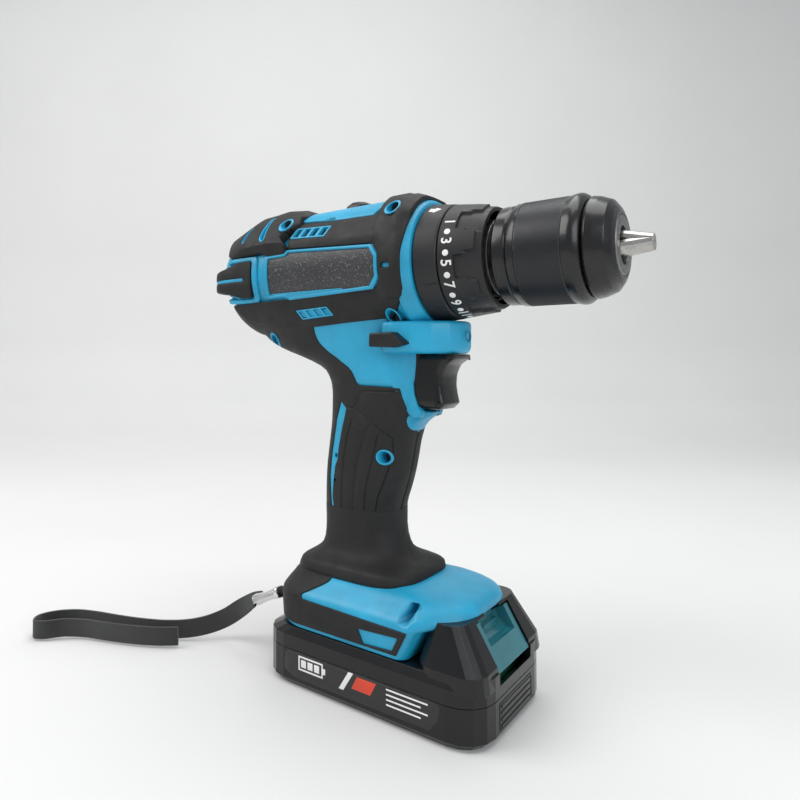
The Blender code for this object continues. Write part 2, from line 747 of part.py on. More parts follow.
def make_speed_knob():
    top = [(229.6, -14.6, -27.6, 8.5, 4), (231.4, -15.0, -27.2, 8.0, 4), (233.0, -17.0, -25.4, 6.5, 3.5)]
    knob = stacked("speed_knob", top, "trigger")
    fuse(knob, box("stem", (-24.5, -18), (-4, 4), (222, 231)))


# ---------------------------------------------------------------- battery pack


def make_pack_lower():
    lower = stacked("pack_lower", [(0.0, 54.5, -54.5, 33.4, PACK_CORNER - 2.5),
                                   (3.0, PACK_HALF_LENGTH, -PACK_HALF_LENGTH, PACK_HALF_WIDTH, PACK_CORNER),
                                   (PACK_SPLIT, PACK_HALF_LENGTH, -PACK_HALF_LENGTH, PACK_HALF_WIDTH,
                                    PACK_CORNER)], "pack")
    cut(lower, stacked("room", [(2.2, 54.8, -54.8, 33.5, 12.3), (40, 54.8, -54.8, 33.5, 12.3)]))


def button_outline(extra=0.0):
    """Side view of the release button, a slab laid along the pack's sloping front."""
    slope = Vector((11.0, -18.5)).normalized()
    out = Vector((-slope.y, slope.x))
    top = Vector((46.4, 43.2))
    bottom = Vector((56.6, 26.0))
    corners = [top - slope * extra + out * 0.4, top - slope * extra - out * (7 + extra),
               bottom + slope * (extra * 5) - out * (7 + extra), bottom + slope * (extra * 5) + out * 0.4]
    return [tuple(corner) for corner in corners]


def make_pack_upper():
    base = PACK_SPLIT + GAP
    upper = stacked("pack_upper", [(base, PACK_HALF_LENGTH, -PACK_HALF_LENGTH, PACK_HALF_WIDTH, PACK_CORNER),
                                   (23.5, PACK_HALF_LENGTH, -PACK_HALF_LENGTH, PACK_HALF_WIDTH, PACK_CORNER),
                                   (PACK_DECK, PACK_HALF_LENGTH, -51, 34.5, PACK_CORNER - 2)], "pack")
    nose = stacked("nose", [(22, PACK_HALF_LENGTH, 26.8, 35.5, 9), (29, 56.5, 26.8, 35.0, 9),
                            (45.5, 46.4, 31.5, 29.5, 7)])
    rail_foot = box("rail", (-34, 29), (-18, 18), (25, 33))
    rail = box("rail", (-34, 29), (-RAIL_HALF_WIDTH, RAIL_HALF_WIDTH), (31.8, 38))
    fuse(upper, nose, rail_foot, rail)
    room = stacked("room", [(10, 54.8, -54.8, 33.5, 12.3), (22.6, 54.8, -54.8, 33.5, 12.3)])
    cut(upper, room, box("room", (-31, 26), (-15.5, 15.5), (20, 35.6)))
    cut(upper, prism("well", "Y", button_outline(0.8), -16.8, 16.8), prism("open", "Y", open_front(), -16.8, 16.8))
    cut(upper, box("hook_room", (37, 48), (-7.6, 7.6), (32.4, 60)))


def open_front():
    """The space above the button's slab, out through the sloping front."""
    low = button_outline(0.8)
    return [low[0], low[3], (low[3][0] + 14, low[3][1] + 8), (low[0][0] + 14, low[0][1] + 12)]


def make_release_button():
    button = prism("release_button", "Y", button_outline(), -16.2, 16.2, "button")
    scoop = rod("scoop", (50.6, -12.5, 42.5), (50.6, 12.5, 42.5), 8.2, segments=20)
    cut(button, scoop)
    hook = [(39.2, 36.6), (43.6, 36.0), (43.4, 44.6), (42.2, 48.4), (39.2, 48.4)]
    fuse(button, prism("hook", "Y", hook, -7, 7), box("bridge", (40, 46), (-7, 7), (36.4, 39.5)))


def make_cells():
    for k in range(5):
        x = (k - 2) * CELL_PITCH
        rod("cell_%d" % (k + 1), (x, -CELL_LENGTH / 2, 11.9), (x, CELL_LENGTH / 2, 11.9), CELL_RADIUS,
            "cell", 16)


def make_boards():
    box("pack_board", (-30, 25), (-14.8, 14.8), (30.2, 31.8), "board")
    block = box("terminal_block", (-46, 24), (-17, 17), (39.4, 47), "trigger")
    cut(block, box("slot", (-30, 30), (-9, -7), (36, 44)), box("slot", (-30, 30), (7, 9), (36, 44)))


# ---------------------------------------------------------------- wrist strap

STRAP_EXIT = (-58.9, -20.9, 37.9)
STRAP_CRIMP_START = (-63.5, -20.5, 35.0)
STRAP_CRIMP_END = (-80.5, -17.5, 25.5)
STRAP_ROUTE = [(-82.2, -17.2, 24.4), (-90, -17.5, 18.5), (-98, -21, 12.5), (-106, -27, 8.5),
               (-114, -34, 6.6), (-124, -41.5, 6.0), (-136, -48, 6.0), (-150, -53.5, 6.0),
               (-164, -58, 6.0), (-176, -63.5, 6.0), (-184, -72, 6.0), (-186, -81, 6.0),
               (-181, -86.5, 6.0), (-175, -83, 6.0), (-170, -75.5, 6.0), (-160, -68.5, 6.0),
               (-147, -63.5, 6.0), (-133, -57.5, 6.0), (-120, -50, 6.0), (-111.5, -43.5, 6.2)]


def smooth_path(route, per_span):
    """Points on a Catmull-Rom curve through the route."""
    ends = [Vector(route[0]) * 2 - Vector(route[1])] + [Vector(p) for p in route]
    ends.append(Vector(route[-1]) * 2 - Vector(route[-2]))
    points = []
    for i in range(1, len(ends) - 2):
        a, b, c, d = ends[i - 1:i + 3]
        for k in range(per_span):
            t = k / per_span
            points.append(0.5 * (2 * b + (c - a) * t + (2 * a - 5 * b + 4 * c - d) * t * t
                                 + (3 * b - a - 3 * c + d) * t * t * t))
    points.append(Vector(route[-1]))
    return points


def tube(name, points, diameter, slot):
    curve = bpy.data.curves.new(name, "CURVE")
    curve.dimensions = "3D"
    curve.bevel_depth = diameter / 2 * MM
    curve.bevel_resolution = 2
    curve.use_fill_caps = True
    spline = curve.splines.new("POLY")
    spline.points.add(len(points) - 1)
    for slot_point, point in zip(spline.points, points):
        slot_point.co = (*(point * MM), 1.0)
    curve.materials.append(finish(slot))
    made = bpy.data.objects.new(name, curve)
    bpy.context.scene.collection.objects.link(made)
    return made


def make_strap():
    tube("strap_cord", [Vector(STRAP_EXIT), Vector(STRAP_CRIMP_START)], 3.4, "strap")
    rod("strap_crimp", Vector(STRAP_CRIMP_START) + Vector((-0.4, 0, -0.2)), STRAP_CRIMP_END, 3.4, "crimp", 12)
    tube("strap_webbing", smooth_path(STRAP_ROUTE, 2), 9.6, "strap")


def planet_centre(letter):
    y, z, _ = orbit_point("abc".index(letter))
    return (0, y, AXIS_Z + z)


def move_origins():
    """Puts the origin of each moving piece on its joint's axis."""
    drive_line = (0, 0, AXIS_Z)
    origins = {"trigger": (10.4, 0, 144), "direction_selector": (9, 0, 162.6),
               "speed_knob": (-21, 0, 229.6), "release_button": (51, 0, 34)}
    for name in ("rotor_core", "motor_shaft", "stage_one_carrier", "spindle", "chuck_core",
                 "chuck_nose_cap", "chuck_sleeve", "mode_ring", "torque_ring"):
        origins[name] = drive_line
    for letter in "abc":
        origins["planet_1" + letter] = planet_centre(letter)
        origins["planet_2" + letter] = planet_centre(letter)
        origins["jaw_" + letter] = (JAW_APEX, 0, AXIS_Z)
    for name, origin in origins.items():
        piece = bpy.data.objects[name]
        place = Vector(origin) * MM
        piece.data.transform(Matrix.Translation(-place))
        piece.location = place


def main():
    clear_scene()
    make_housing()
    make_grip_rubber()
    make_base_bands()
    make_pads()
    make_side_plates()
    make_rear_bumper()
    make_screws()
    make_lamp()
    make_motor()
    make_planets(1, STAGE_1)
    make_planets(2, STAGE_2)
    make_carriers()
    make_ring_gear()
    make_gear_case()
    make_collars()
    make_chuck()
    make_jaws()
    make_switch()
    make_trigger()
    make_selector()
    make_speed_knob()
    make_pack_lower()
    make_pack_upper()
    make_release_button()
    make_cells()
    make_boards()
    make_strap()
    move_origins()


main()
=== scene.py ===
"""Looks of the cordless drill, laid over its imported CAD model.

Lengths are in millimetres until a mesh is made: X towards the chuck, Y to the drill's left, Z up.
The motor housing is drawn in (x, v), where v is the arc from its top towards the right side at a
radius of 31. The handle is drawn in (u, z), where u is the arc from its front to its rear.
"""

import contextlib
import json
import math

import bmesh
import bpy
import numpy as np
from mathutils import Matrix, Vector, geometry


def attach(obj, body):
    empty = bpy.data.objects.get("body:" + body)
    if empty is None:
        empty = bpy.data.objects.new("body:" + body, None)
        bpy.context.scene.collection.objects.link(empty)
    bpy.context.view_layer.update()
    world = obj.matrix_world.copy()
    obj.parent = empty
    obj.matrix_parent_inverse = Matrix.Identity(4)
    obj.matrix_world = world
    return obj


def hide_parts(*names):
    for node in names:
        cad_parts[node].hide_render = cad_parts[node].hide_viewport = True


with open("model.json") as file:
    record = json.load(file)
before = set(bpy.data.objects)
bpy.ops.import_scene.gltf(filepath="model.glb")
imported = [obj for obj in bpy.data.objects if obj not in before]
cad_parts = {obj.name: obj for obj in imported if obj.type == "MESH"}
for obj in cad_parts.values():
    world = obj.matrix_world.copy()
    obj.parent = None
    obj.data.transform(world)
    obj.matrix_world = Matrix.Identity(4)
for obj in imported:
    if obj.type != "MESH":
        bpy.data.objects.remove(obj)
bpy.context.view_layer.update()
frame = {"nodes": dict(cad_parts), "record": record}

MM = 0.001
AXIS_Z = 198.4
ARC = 31.0
GRIP_ARC = 67.0
CAMERA_TURN = 38.52


# ---------------------------------------------------------------- camera, lights and stage


def in_scene(name, data):
    """A new object in the scene that holds this data."""
    made = bpy.data.objects.new(name, data)
    bpy.context.scene.collection.objects.link(made)
    return made


def make_camera():
    data = bpy.data.cameras.new("camera")
    data.lens = 28.84
    data.sensor_width = 36
    data.shift_x = 0.0996
    data.shift_y = -0.0715
    data.clip_start = 0.01
    camera = in_scene("camera", data)
    camera.location = Vector((164.34, -267.80, 153.31)) * MM
    camera.rotation_euler = (math.radians(91.62), 0, math.radians(CAMERA_TURN))
    bpy.context.scene.camera = camera


def area_light(name, place, target, width, height, power, colour=(1, 1, 1)):
    data = bpy.data.lights.new(name, "AREA")
    data.shape = "RECTANGLE"
    data.size = width
    data.size_y = height
    data.energy = power
    data.color = colour
    light = in_scene(name, data)
    light.location = place
    light.rotation_euler = (Vector(target) - Vector(place)).to_track_quat("-Z", "Y").to_euler()


# ---------------------------------------------------------------- materials


class Nodes:
    """Short calls for building one material's nodes."""

    def __init__(self, name):
        self.material = bpy.data.materials.new(name)
        self.material.use_nodes = True
        self.tree = self.material.node_tree
        self.place = self.add("ShaderNodeTexCoord").outputs["Object"]

    def fill(self, node, inputs):
        """Links each input to a socket, or sets it to a value."""
        for key, value in inputs.items():
            if isinstance(value, bpy.types.NodeSocket):
                self.tree.links.new(value, node.inputs[key])
            else:
                node.inputs[key].default_value = value

    def add(self, kind, inputs=None, **settings):
        node = self.tree.nodes.new(kind)
        for key, value in settings.items():
            setattr(node, key, value)
        self.fill(node, inputs or {})
        return node

    def noise(self, per_mm, detail=3.0, rough=0.6):
        return self.add("ShaderNodeTexNoise", {"Vector": self.place, "Scale": per_mm / MM, "Detail": detail,
                                               "Roughness": rough}).outputs["Fac"]

    def ramp(self, source, low, high, first, last):
        return self.add("ShaderNodeMapRange", {"Value": source, "From Min": low, "From Max": high,
                                               "To Min": first, "To Max": last}).outputs["Result"]

    def cloud(self, per_mm, detail, low, high, first=0.0, last=1.0):
        return self.ramp(self.noise(per_mm, detail), low, high, first, last)

    def mix(self, share, first, last):
        first, last = [(*c, 1.0) if isinstance(c, tuple) else c for c in (first, last)]
        return self.add("ShaderNodeMix", {0: share, 6: first, 7: last}, data_type="RGBA").outputs[2]

    def maths(self, operation, *values):
        return self.add("ShaderNodeMath", dict(enumerate(values)), operation=operation).outputs["Value"]

    def bump(self, height, strength, distance, below=None):
        inputs = {"Height": height, "Strength": strength, "Distance": distance * MM}
        if below is not None:
            inputs["Normal"] = below
        return self.add("ShaderNodeBump", inputs).outputs["Normal"]

    def finished(self, colour, base, inputs):
        """The material, with its shader's inputs filled in."""
        self.fill(self.tree.nodes["Principled BSDF"], {"Base Color": base, **inputs})
        self.material.diffuse_color = (*colour, 1.0)
        return self.material


def shade(colour, gain, lift=0.0):
    return tuple(min(c * gain + lift, 1.0) for c in colour)


def worn_edges(made, radius):
    """Share from 0 to 1 that rises on edges tighter than the radius, for wear and painted edge highlight, and
    the rounded normal.
    """
    bevel = made.add("ShaderNodeBevel", {"Radius": radius * MM}, samples=4).outputs["Normal"]
    flat = made.add("ShaderNodeNewGeometry").outputs["Normal"]
    dot = made.add("ShaderNodeVectorMath", {0: bevel, 1: flat}, operation="DOT_PRODUCT")
    return made.ramp(dot.outputs["Value"], 0.995, 0.8, 0.0, 1.0), bevel


def moulded(name, colour, roughness, grain=2.2, depth=0.05, metallic=0.0, wear_and_highlight=0.35, coat=0.0,
            speck=0.0, lift=2.6, edge=0.35, patch=0.18, shine=0.5):
    """Moulded or painted stuff: fine grain, cloudy colour, uneven gloss and edges made paler partly by wear
    and partly by painted highlight.
    """
    made = Nodes(name)
    base = made.mix(made.cloud(0.035, 4.0, 0.3, 0.7), shade(colour, 1 - patch), shade(colour, 1 + patch))
    if speck:
        base = made.mix(made.cloud(speck, 1.0, 0.62, 0.7, 0.0, 0.55), base, shade(colour, 6, 0.12))
    edges, rounded_normal = worn_edges(made, edge)
    # Edges are lightened in noisy patches: partly wear, partly painted highlight.
    scuffs_and_edge_highlight = made.maths("MULTIPLY", edges, made.cloud(0.35, 4.0, 0.4, 0.65, 0.1 * wear_and_highlight, wear_and_highlight))
    base = made.mix(scuffs_and_edge_highlight, base, shade(colour, lift, 0.01))
    gloss = made.cloud(0.12, 4.0, 0.3, 0.7, roughness * 0.85, min(roughness * 1.15, 1.0))
    normal = made.bump(made.noise(grain, 2.0, 0.7), 0.6, depth, rounded_normal)
    return made.finished(colour, base, {"Roughness": gloss, "Metallic": metallic, "Coat Weight": coat,
                                        "Coat Roughness": 0.12, "Specular IOR Level": shine,
                                        "Normal": normal})


def knurled(name, groove_shade, tip_highlight, roughness):
    """Blackened steel with a painted highlight on its diamond tips and painted shade in its grooves."""
    made = Nodes(name)
    # Pointiness lifts the convex tips towards the painted highlight colour and leaves the grooves in the
    # painted shade colour.
    tip_highlight_share = made.ramp(made.add("ShaderNodeNewGeometry").outputs["Pointiness"], 0.47, 0.56, 0.0, 1.0)
    gloss = made.cloud(0.4, 3.0, 0.3, 0.7, roughness * 0.8, roughness * 1.25)
    return made.finished(groove_shade, made.mix(tip_highlight_share, groove_shade, tip_highlight), {"Roughness": gloss, "Metallic": 0.6})


def turned_metal(name, colour, roughness, lines=3.0, depth=0.02):
    """Metal with fine rings round the drive axis from the lathe."""
    made = Nodes(name)
    shift = made.add("ShaderNodeVectorMath", {0: made.place, 1: (0, 0, AXIS_Z * MM)}, operation="SUBTRACT")
    rings = made.add("ShaderNodeTexWave", {"Vector": shift.outputs["Vector"], "Scale": lines / MM * 0.3,
                                           "Distortion": 0.4}, wave_type="RINGS", rings_direction="X")
    gloss = made.cloud(0.5, 3.0, 0.3, 0.7, roughness * 0.8, roughness * 1.3)
    normal = made.bump(rings.outputs["Fac"], 0.5, depth, worn_edges(made, 0.25)[1])
    base = made.mix(made.cloud(0.3, 4.0, 0.35, 0.65), shade(colour, 0.8), colour)
    return made.finished(colour, base, {"Roughness": gloss, "Metallic": 1.0, "Normal": normal})


def woven(name, colour, rib):
    """Webbing or braid. The mesh's UV runs in millimetres along and across it."""
    made = Nodes(name)
    uv = made.add("ShaderNodeUVMap", uv_map="weave").outputs["UV"]
    threads = []
    for angle in (32, -32):
        slanted = made.add("ShaderNodeVectorRotate", {"Vector": uv, "Angle": math.radians(angle)},
                           rotation_type="Z_AXIS").outputs["Vector"]
        wave = made.add("ShaderNodeTexWave", {"Vector": slanted, "Scale": 0.314 / rib, "Distortion": 0.6},
                        wave_type="BANDS", bands_direction="X")
        threads.append(wave.outputs["Fac"])
    fuzz = made.maths("MULTIPLY_ADD", made.noise(3.0), 0.43, made.maths("MAXIMUM", *threads))
    base = made.mix(made.ramp(fuzz, 0.5, 1.3, 0.0, 1.0), shade(colour, 0.25), shade(colour, 1.9))
    return made.finished(colour, base, {"Roughness": 0.85, "Sheen Weight": 0.25,
                                        "Normal": made.bump(fuzz, 0.9, 0.35)})


def paper(name, colour):
    made = Nodes(name)
    base = made.mix(made.cloud(0.004, 3.0, 0.3, 0.7), shade(colour, 0.97), colour)
    return made.finished(colour, base, {"Roughness": 0.9, "Specular IOR Level": 0.15,
                                        "Normal": made.bump(made.noise(0.25, 4.0), 0.25, 0.3)})


TEAL = moulded("teal_plastic", (0.012, 0.32, 0.53), 0.4, grain=2.6, depth=0.045, wear_and_highlight=0.25, lift=1.7)
RUBBER = moulded("black_rubber", (0.011, 0.0108, 0.011), 0.6, grain=3.0, depth=0.06, wear_and_highlight=0.5, edge=0.5,
                 shine=0.36)
BLACK = moulded("black_plastic", (0.009, 0.009, 0.0095), 0.4, grain=3.4, depth=0.035, wear_and_highlight=0.4, shine=0.4)
COLLAR = moulded("collar_plastic", (0.013, 0.013, 0.014), 0.46, grain=1.7, depth=0.09, wear_and_highlight=0.45, shine=0.42)
GLOSS = moulded("polished_black", (0.006, 0.006, 0.0065), 0.24, grain=0.6, depth=0.02, wear_and_highlight=0.3, coat=0.12,
               shine=0.34)
PLATE = moulded("speckled_plate", (0.03, 0.03, 0.032), 0.42, grain=1.6, depth=0.12, speck=1.5, wear_and_highlight=0.2)
# Near-black painted shade for recesses: vent floors, the trigger pocket, the lamp well and the chuck bore.
SHADE_BLACK = moulded("painted_recess_shade", (0.004, 0.004, 0.0045), 0.7, wear_and_highlight=0.0)
WHITE = moulded("white_print", (0.8, 0.8, 0.78), 0.5, wear_and_highlight=0.0, patch=0.05)
CLEAR_TEAL = moulded("tinted_button", (0.018, 0.15, 0.185), 0.22, grain=0.8, depth=0.03, coat=0.5, lift=1.8)
SLEEVE = moulded("lacquered_sleeve", (0.009, 0.009, 0.0095), 0.27, grain=1.2, depth=0.02, metallic=0.35,
                 wear_and_highlight=0.6, coat=0.25, lift=8.0, edge=0.2)
# Near-black painted shade for the grooves and grey painted highlight for the tips.
KNURL = knurled("knurled_black", (0.003, 0.003, 0.0035), (0.075, 0.077, 0.085), 0.34)
STEEL = turned_metal("turned_steel", (0.5, 0.49, 0.47), 0.26)
GREY_STEEL = turned_metal("ground_steel", (0.26, 0.26, 0.26), 0.34, 5.0)
SCREW_STEEL = moulded("oxide_screw", (0.05, 0.05, 0.05), 0.4, metallic=1.0, wear_and_highlight=0.8, lift=5.0)
COPPER = moulded("lacquered_copper", (0.5, 0.2, 0.08), 0.35, metallic=1.0, grain=1.0)
CAST = moulded("plated_case", (0.45, 0.45, 0.44), 0.35, metallic=1.0, grain=0.8)
CRIMP = moulded("bright_crimp", (0.72, 0.72, 0.72), 0.22, metallic=1.0, grain=0.4, depth=0.03, lift=1.2)
LENS = moulded("clear_lens", (0.75, 0.8, 0.82), 0.08, grain=0.5, coat=0.6, wear_and_highlight=0.1, lift=1.1)
CELL = moulded("cell_sleeve", (0.06, 0.38, 0.22), 0.3, grain=0.5, coat=0.3)
BOARD = moulded("solder_mask", (0.02, 0.14, 0.05), 0.35, grain=0.9, coat=0.3)
LABEL = moulded("printed_label", (0.008, 0.008, 0.0085), 0.3, grain=2.0, depth=0.02, wear_and_highlight=0.2, coat=0.2)
ACCENT = moulded("label_accent", (0.62, 0.05, 0.02), 0.4, wear_and_highlight=0.1)
WEBBING = woven("strap_weave", (0.014, 0.014, 0.015), 0.55)


# ---------------------------------------------------------------- outlines


def rounded(outline, radius, steps=4, closed=True):
    """The outline with its corners rounded. A point's third number is a radius of its own."""
    out = []
    count = len(outline)
    for i, point in enumerate(outline):
        here = Vector(point[:2])
        corner = point[2] if len(point) > 2 else radius
        if corner <= 0 or (not closed and i in (0, count - 1)):
            out.append(tuple(here))
            continue
        back = Vector(outline[i - 1][:2]) - here
        ahead = Vector(outline[(i + 1) % count][:2]) - here
        half = back.angle(ahead) / 2
        reach = min(corner / max(math.tan(half), 1e-3), 0.45 * back.length, 0.45 * ahead.length)
        start = here + back.normalized() * reach
        end = here + ahead.normalized() * reach
        for k in range(steps + 1):
            t = k / steps
            out.append(tuple(start * (1 - t) ** 2 + here * 2 * t * (1 - t) + end * t * t))
    return out


def resampled(points, step, closed=True):
    """The same line with no stretch longer than the step."""
    out = []
    count = len(points)
    for i in range(count if closed else count - 1):
        a, b = Vector(points[i][:2]), Vector(points[(i + 1) % count][:2])
        pieces = max(1, math.ceil((b - a).length / step))
        out += [tuple(a.lerp(b, k / pieces)) for k in range(pieces)]
    if not closed:
        out.append(tuple(points[-1][:2]))
    return np.array(out)


def area_of(points):
    x, y = np.asarray(points, float).T
    return 0.5 * float(np.sum(x * np.roll(y, -1) - np.roll(x, -1) * y))


def anticlockwise(points):
    points = np.asarray(points, float)
    return points if area_of(points) > 0 else points[::-1]


def inset(points, distance):
    """Anticlockwise points moved inwards, corner by corner."""
    before = points - np.roll(points, 1, axis=0)
    after = np.roll(points, -1, axis=0) - points
    first, second = [unit(side[:, ::-1] * (-1, 1)) for side in (before, after)]
    middle = first + second
    length = np.maximum(np.sum(middle * first, axis=1, keepdims=True), 0.5)
    return points + middle / length * distance


def unit(vectors):
    return vectors / np.maximum(np.linalg.norm(vectors, axis=1, keepdims=True), 1e-9)


def inside(points, loop):
    """Which points lie inside the loop."""
    x, y = points[:, 0][:, None], points[:, 1][:, None]
    x0, y0 = loop[:, 0][None], loop[:, 1][None]
    x1, y1 = np.roll(loop[:, 0], -1)[None], np.roll(loop[:, 1], -1)[None]
    spans = (y0 > y) != (y1 > y)
    rise = np.where(np.abs(y1 - y0) < 1e-12, 1e-12, y1 - y0)
    return (np.sum(spans & (x < (x1 - x0) * (y - y0) / rise + x0), axis=1) % 2) == 1


def distance_to(points, line, closed=False):
    """How far each point lies from a line of points."""
    ends = np.roll(line, -1, axis=0) if closed else line[1:]
    starts = line if closed else line[:-1]
    along = ends - starts
    reach = points[:, None, :] - starts[None]
    share = np.sum(reach * along[None], axis=2) / np.maximum(np.sum(along ** 2, axis=1), 1e-12)[None]
    nearest = starts[None] + np.clip(share, 0, 1)[:, :, None] * along[None]
    return np.min(np.linalg.norm(points[:, None, :] - nearest, axis=2), axis=1)


def turns(count):
    """Evenly spaced angles, once round."""
    return [2 * math.pi * k / count for k in range(count)]


def circle(x, y, radius, count=24):
    return [(x + radius * math.cos(t), y + radius * math.sin(t)) for t in turns(count)]


def within(points, loops, margin=0.0):
    """Which points lie inside the first loop, outside the others and off their edges."""
    keep = inside(points, loops[0])
    for hole in loops[1:]:
        keep &= ~inside(points, hole)
    for loop in loops if margin else ():
        keep &= distance_to(points, loop, True) > margin
    return keep


# ---------------------------------------------------------------- meshes


@contextlib.contextmanager
def opened(mesh):
    """The mesh as a bmesh, written back at the end."""
    bm = bmesh.new()
    bm.from_mesh(mesh)
    yield bm
    bm.to_mesh(mesh)
    bm.free()


def baked(made):
    """The object's mesh with its modifiers applied."""
    bpy.context.view_layer.update()
    return bpy.data.meshes.new_from_object(made.evaluated_get(bpy.context.evaluated_depsgraph_get()))


def make_object(name, points, faces, finish, body="drill", sharp=38.0):
    """One mesh piece from points in millimetres, smooth except at sharp folds, riding on a body."""
    mesh = bpy.data.meshes.new(name)
    mesh.from_pydata([tuple(float(c) * MM for c in p) for p in points], [], faces)
    with opened(mesh) as bm:
        bmesh.ops.remove_doubles(bm, verts=bm.verts, dist=2e-6)
        bmesh.ops.recalc_face_normals(bm, faces=bm.faces)
        for edge in bm.edges:
            edge.smooth = edge.calc_face_angle(0.0) < math.radians(sharp)
        for face in bm.faces:
            face.smooth = True
    mesh.materials.append(finish)
    made = in_scene(name, mesh)
    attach(made, body)
    return made


def quads(starts, count):
    """Four-sided faces between rings of this count whose first points are listed in pairs."""
    return [(a + i, a + (i + 1) % count, b + (i + 1) % count, b + i) for a, b in starts for i in range(count)]


def loft(name, rings, finish, caps=True, sharp=38.0):
    """A skin through closed rings of equal count."""
    count = len(rings[0])
    last = (len(rings) - 1) * count
    faces = quads([(r, r + count) for r in range(0, last, count)], count)
    if caps:
        faces += [tuple(range(count))[::-1], tuple(range(last, last + count))]
    return make_object(name, [p for ring in rings for p in ring], faces, finish, sharp=sharp)


def polar(x, radius, turn):
    """A point at an angle from the top, turning to the right about the drive line."""
    return x, -radius * np.sin(turn), AXIS_Z + radius * np.cos(turn)


def turned(name, loop, finish, body="drill", segments=120, field=None, sharp=38.0):
    """Turns a closed loop of (x, radius) about the drive line. field(x, turn) is taken off the radius."""
    count = len(loop)
    points = [polar(x, max(radius - (field(x, turn) if field else 0.0), 0.02), turn)
              for turn in turns(segments) for x, radius in loop]
    faces = quads([(s * count, (s + 1) % segments * count) for s in range(segments)], count)
    return make_object(name, points, faces, finish, body, sharp)


def trimmed(line, loops, margin):
    """The stretches of a line that lie within the loops."""
    runs, run = [], []
    for point, kept in zip(line, within(line, loops, margin)):
        if kept:
            run.append(point)
        elif run:
            runs.append(run)
            run = []
    return [np.array(r) for r in runs + [run] if len(r) > 1]


EDGE_STEPS = 3


def panel(name, place, outline, low, high, finish, edge=0.5, holes=(), grooves=(), creases=(),
          step=2.5, body="drill"):
    """A moulded skin on a curved surface, its edges rounded and its underside open.

    place(u, v, h) gives points in space, and low and high are heights or functions of u and v.
    A groove is (line, half width, depth), and a crease is a line that the faces follow.
    """
    floor, roof = [h if callable(h) else lambda u, v, h=h: np.full(len(u), float(h)) for h in (low, high)]
    loops = [anticlockwise(resampled(p, step)) for p in (outline, *holes)]
    loops = loops[:1] + [p[::-1] for p in loops[1:]]
    points, faces, rims, known = [], [], [], []
    for loop in loops:
        rings = [(loop, None)]
        for k in range(EDGE_STEPS + 1):
            turn = math.pi / 2 * k / EDGE_STEPS
            rings.append((inset(loop, edge * (1 - math.cos(turn))), edge * (1 - math.sin(turn))))
        count = len(loop)
        start = len(points)
        for flat, drop in rings:
            u, v = flat.T
            h = floor(u, v) if drop is None else np.maximum(roof(u, v) - drop, floor(u, v) + 0.01)
            points += list(place(u, v, h))
        last = start + (len(rings) - 1) * count
        faces += quads([(a, a + count) for a in range(start, last, count)], count)
        rims.append(rings[-1][0])
        known += range(last, last + count)
    flat, edges = [], []
    for rim in rims:
        edges += [(len(flat) + i, len(flat) + (i + 1) % len(rim)) for i in range(len(rim))]
        flat += [tuple(p) for p in rim]
    lines = [resampled(line, step * 0.6, False) for line in creases]
    for line, width, _ in grooves:
        fine = resampled(line, min(step * 0.6, 1.5), False)
        across = np.gradient(fine, axis=0)[:, ::-1] * (-1, 1)
        across = unit(across) * width
        lines += [fine, fine + across, fine - across]
    for line in lines:
        for run in trimmed(line, rims, 0.35):
            edges += [(len(flat) + i, len(flat) + i + 1) for i in range(len(run) - 1)]
            flat += [tuple(p) for p in run]
    low_corner, high_corner = rims[0].min(axis=0), rims[0].max(axis=0)
    grid = np.meshgrid(*[np.arange(a, b, step) for a, b in zip(low_corner, high_corner)])
    grid = np.stack([axis.ravel() for axis in grid], axis=1)
    if len(grid):
        keep = within(grid, rims, 0.45 * step)
        for line in lines:
            keep &= distance_to(grid, line) > 0.3 * step
        flat += [tuple(p) for p in grid[keep]]
    verts, _, triangles, origins, *_ = geometry.delaunay_2d_cdt([Vector(p) for p in flat], edges, [], 0, 1e-5)
    cap = np.array([tuple(v) for v in verts])
    height = roof(*cap.T)
    for line, width, depth in grooves:
        near = distance_to(cap, resampled(line, 1.5, False))
        height = height - depth * np.clip(1 - near / width, 0, 1)
    index = []
    for source, point in zip(origins, place(*cap.T, height)):
        rim = [s for s in source if s < len(known)]
        index.append(known[rim[0]] if rim else len(points))
        if not rim:
            points.append(point)
    corners = np.array([list(t)[:3] for t in triangles])
    keep = within(cap[corners].mean(axis=1), rims)
    faces += [tuple(index[c] for c in triangle) for triangle in corners[keep]]
    return make_object(name, points, faces, finish, body)


def mirrored(source, name):
    """The same piece on the left side."""
    made = in_scene(name, source.data.copy())
    for vert in made.data.vertices:
        vert.co.y = -vert.co.y
    made.data.flip_normals()
    return made


def both(name, *args, **options):
    """A panel on the right side and its mirror image on the left."""
    right = panel(name + "_right", *args, **options)
    left = mirrored(right, name + "_left")
    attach(left, options.get("body", "drill"))
    return right, left


def on_side(u, v, h):
    """Points of a side view, h to the right of the middle plane."""
    return np.stack([u, -h, v], axis=1)


def slab(name, outline, half, finish, edge, body, step):
    """A side view given a width, rounded at both sides, as one mesh."""
    made = panel(name, on_side, outline, 0.0, half, finish, edge, step=step, body=body)
    with opened(made.data) as bm:
        bmesh.ops.mirror(bm, geom=bm.verts[:] + bm.edges[:] + bm.faces[:], axis="Y", merge_dist=1e-5)
        bmesh.ops.recalc_face_normals(bm, faces=bm.faces)
    return made


# ---------------------------------------------------------------- surfaces


def on_body(u, v, h):
    """x, arc and radius on the motor housing."""
    return np.stack(polar(u, h, v / ARC), axis=1)


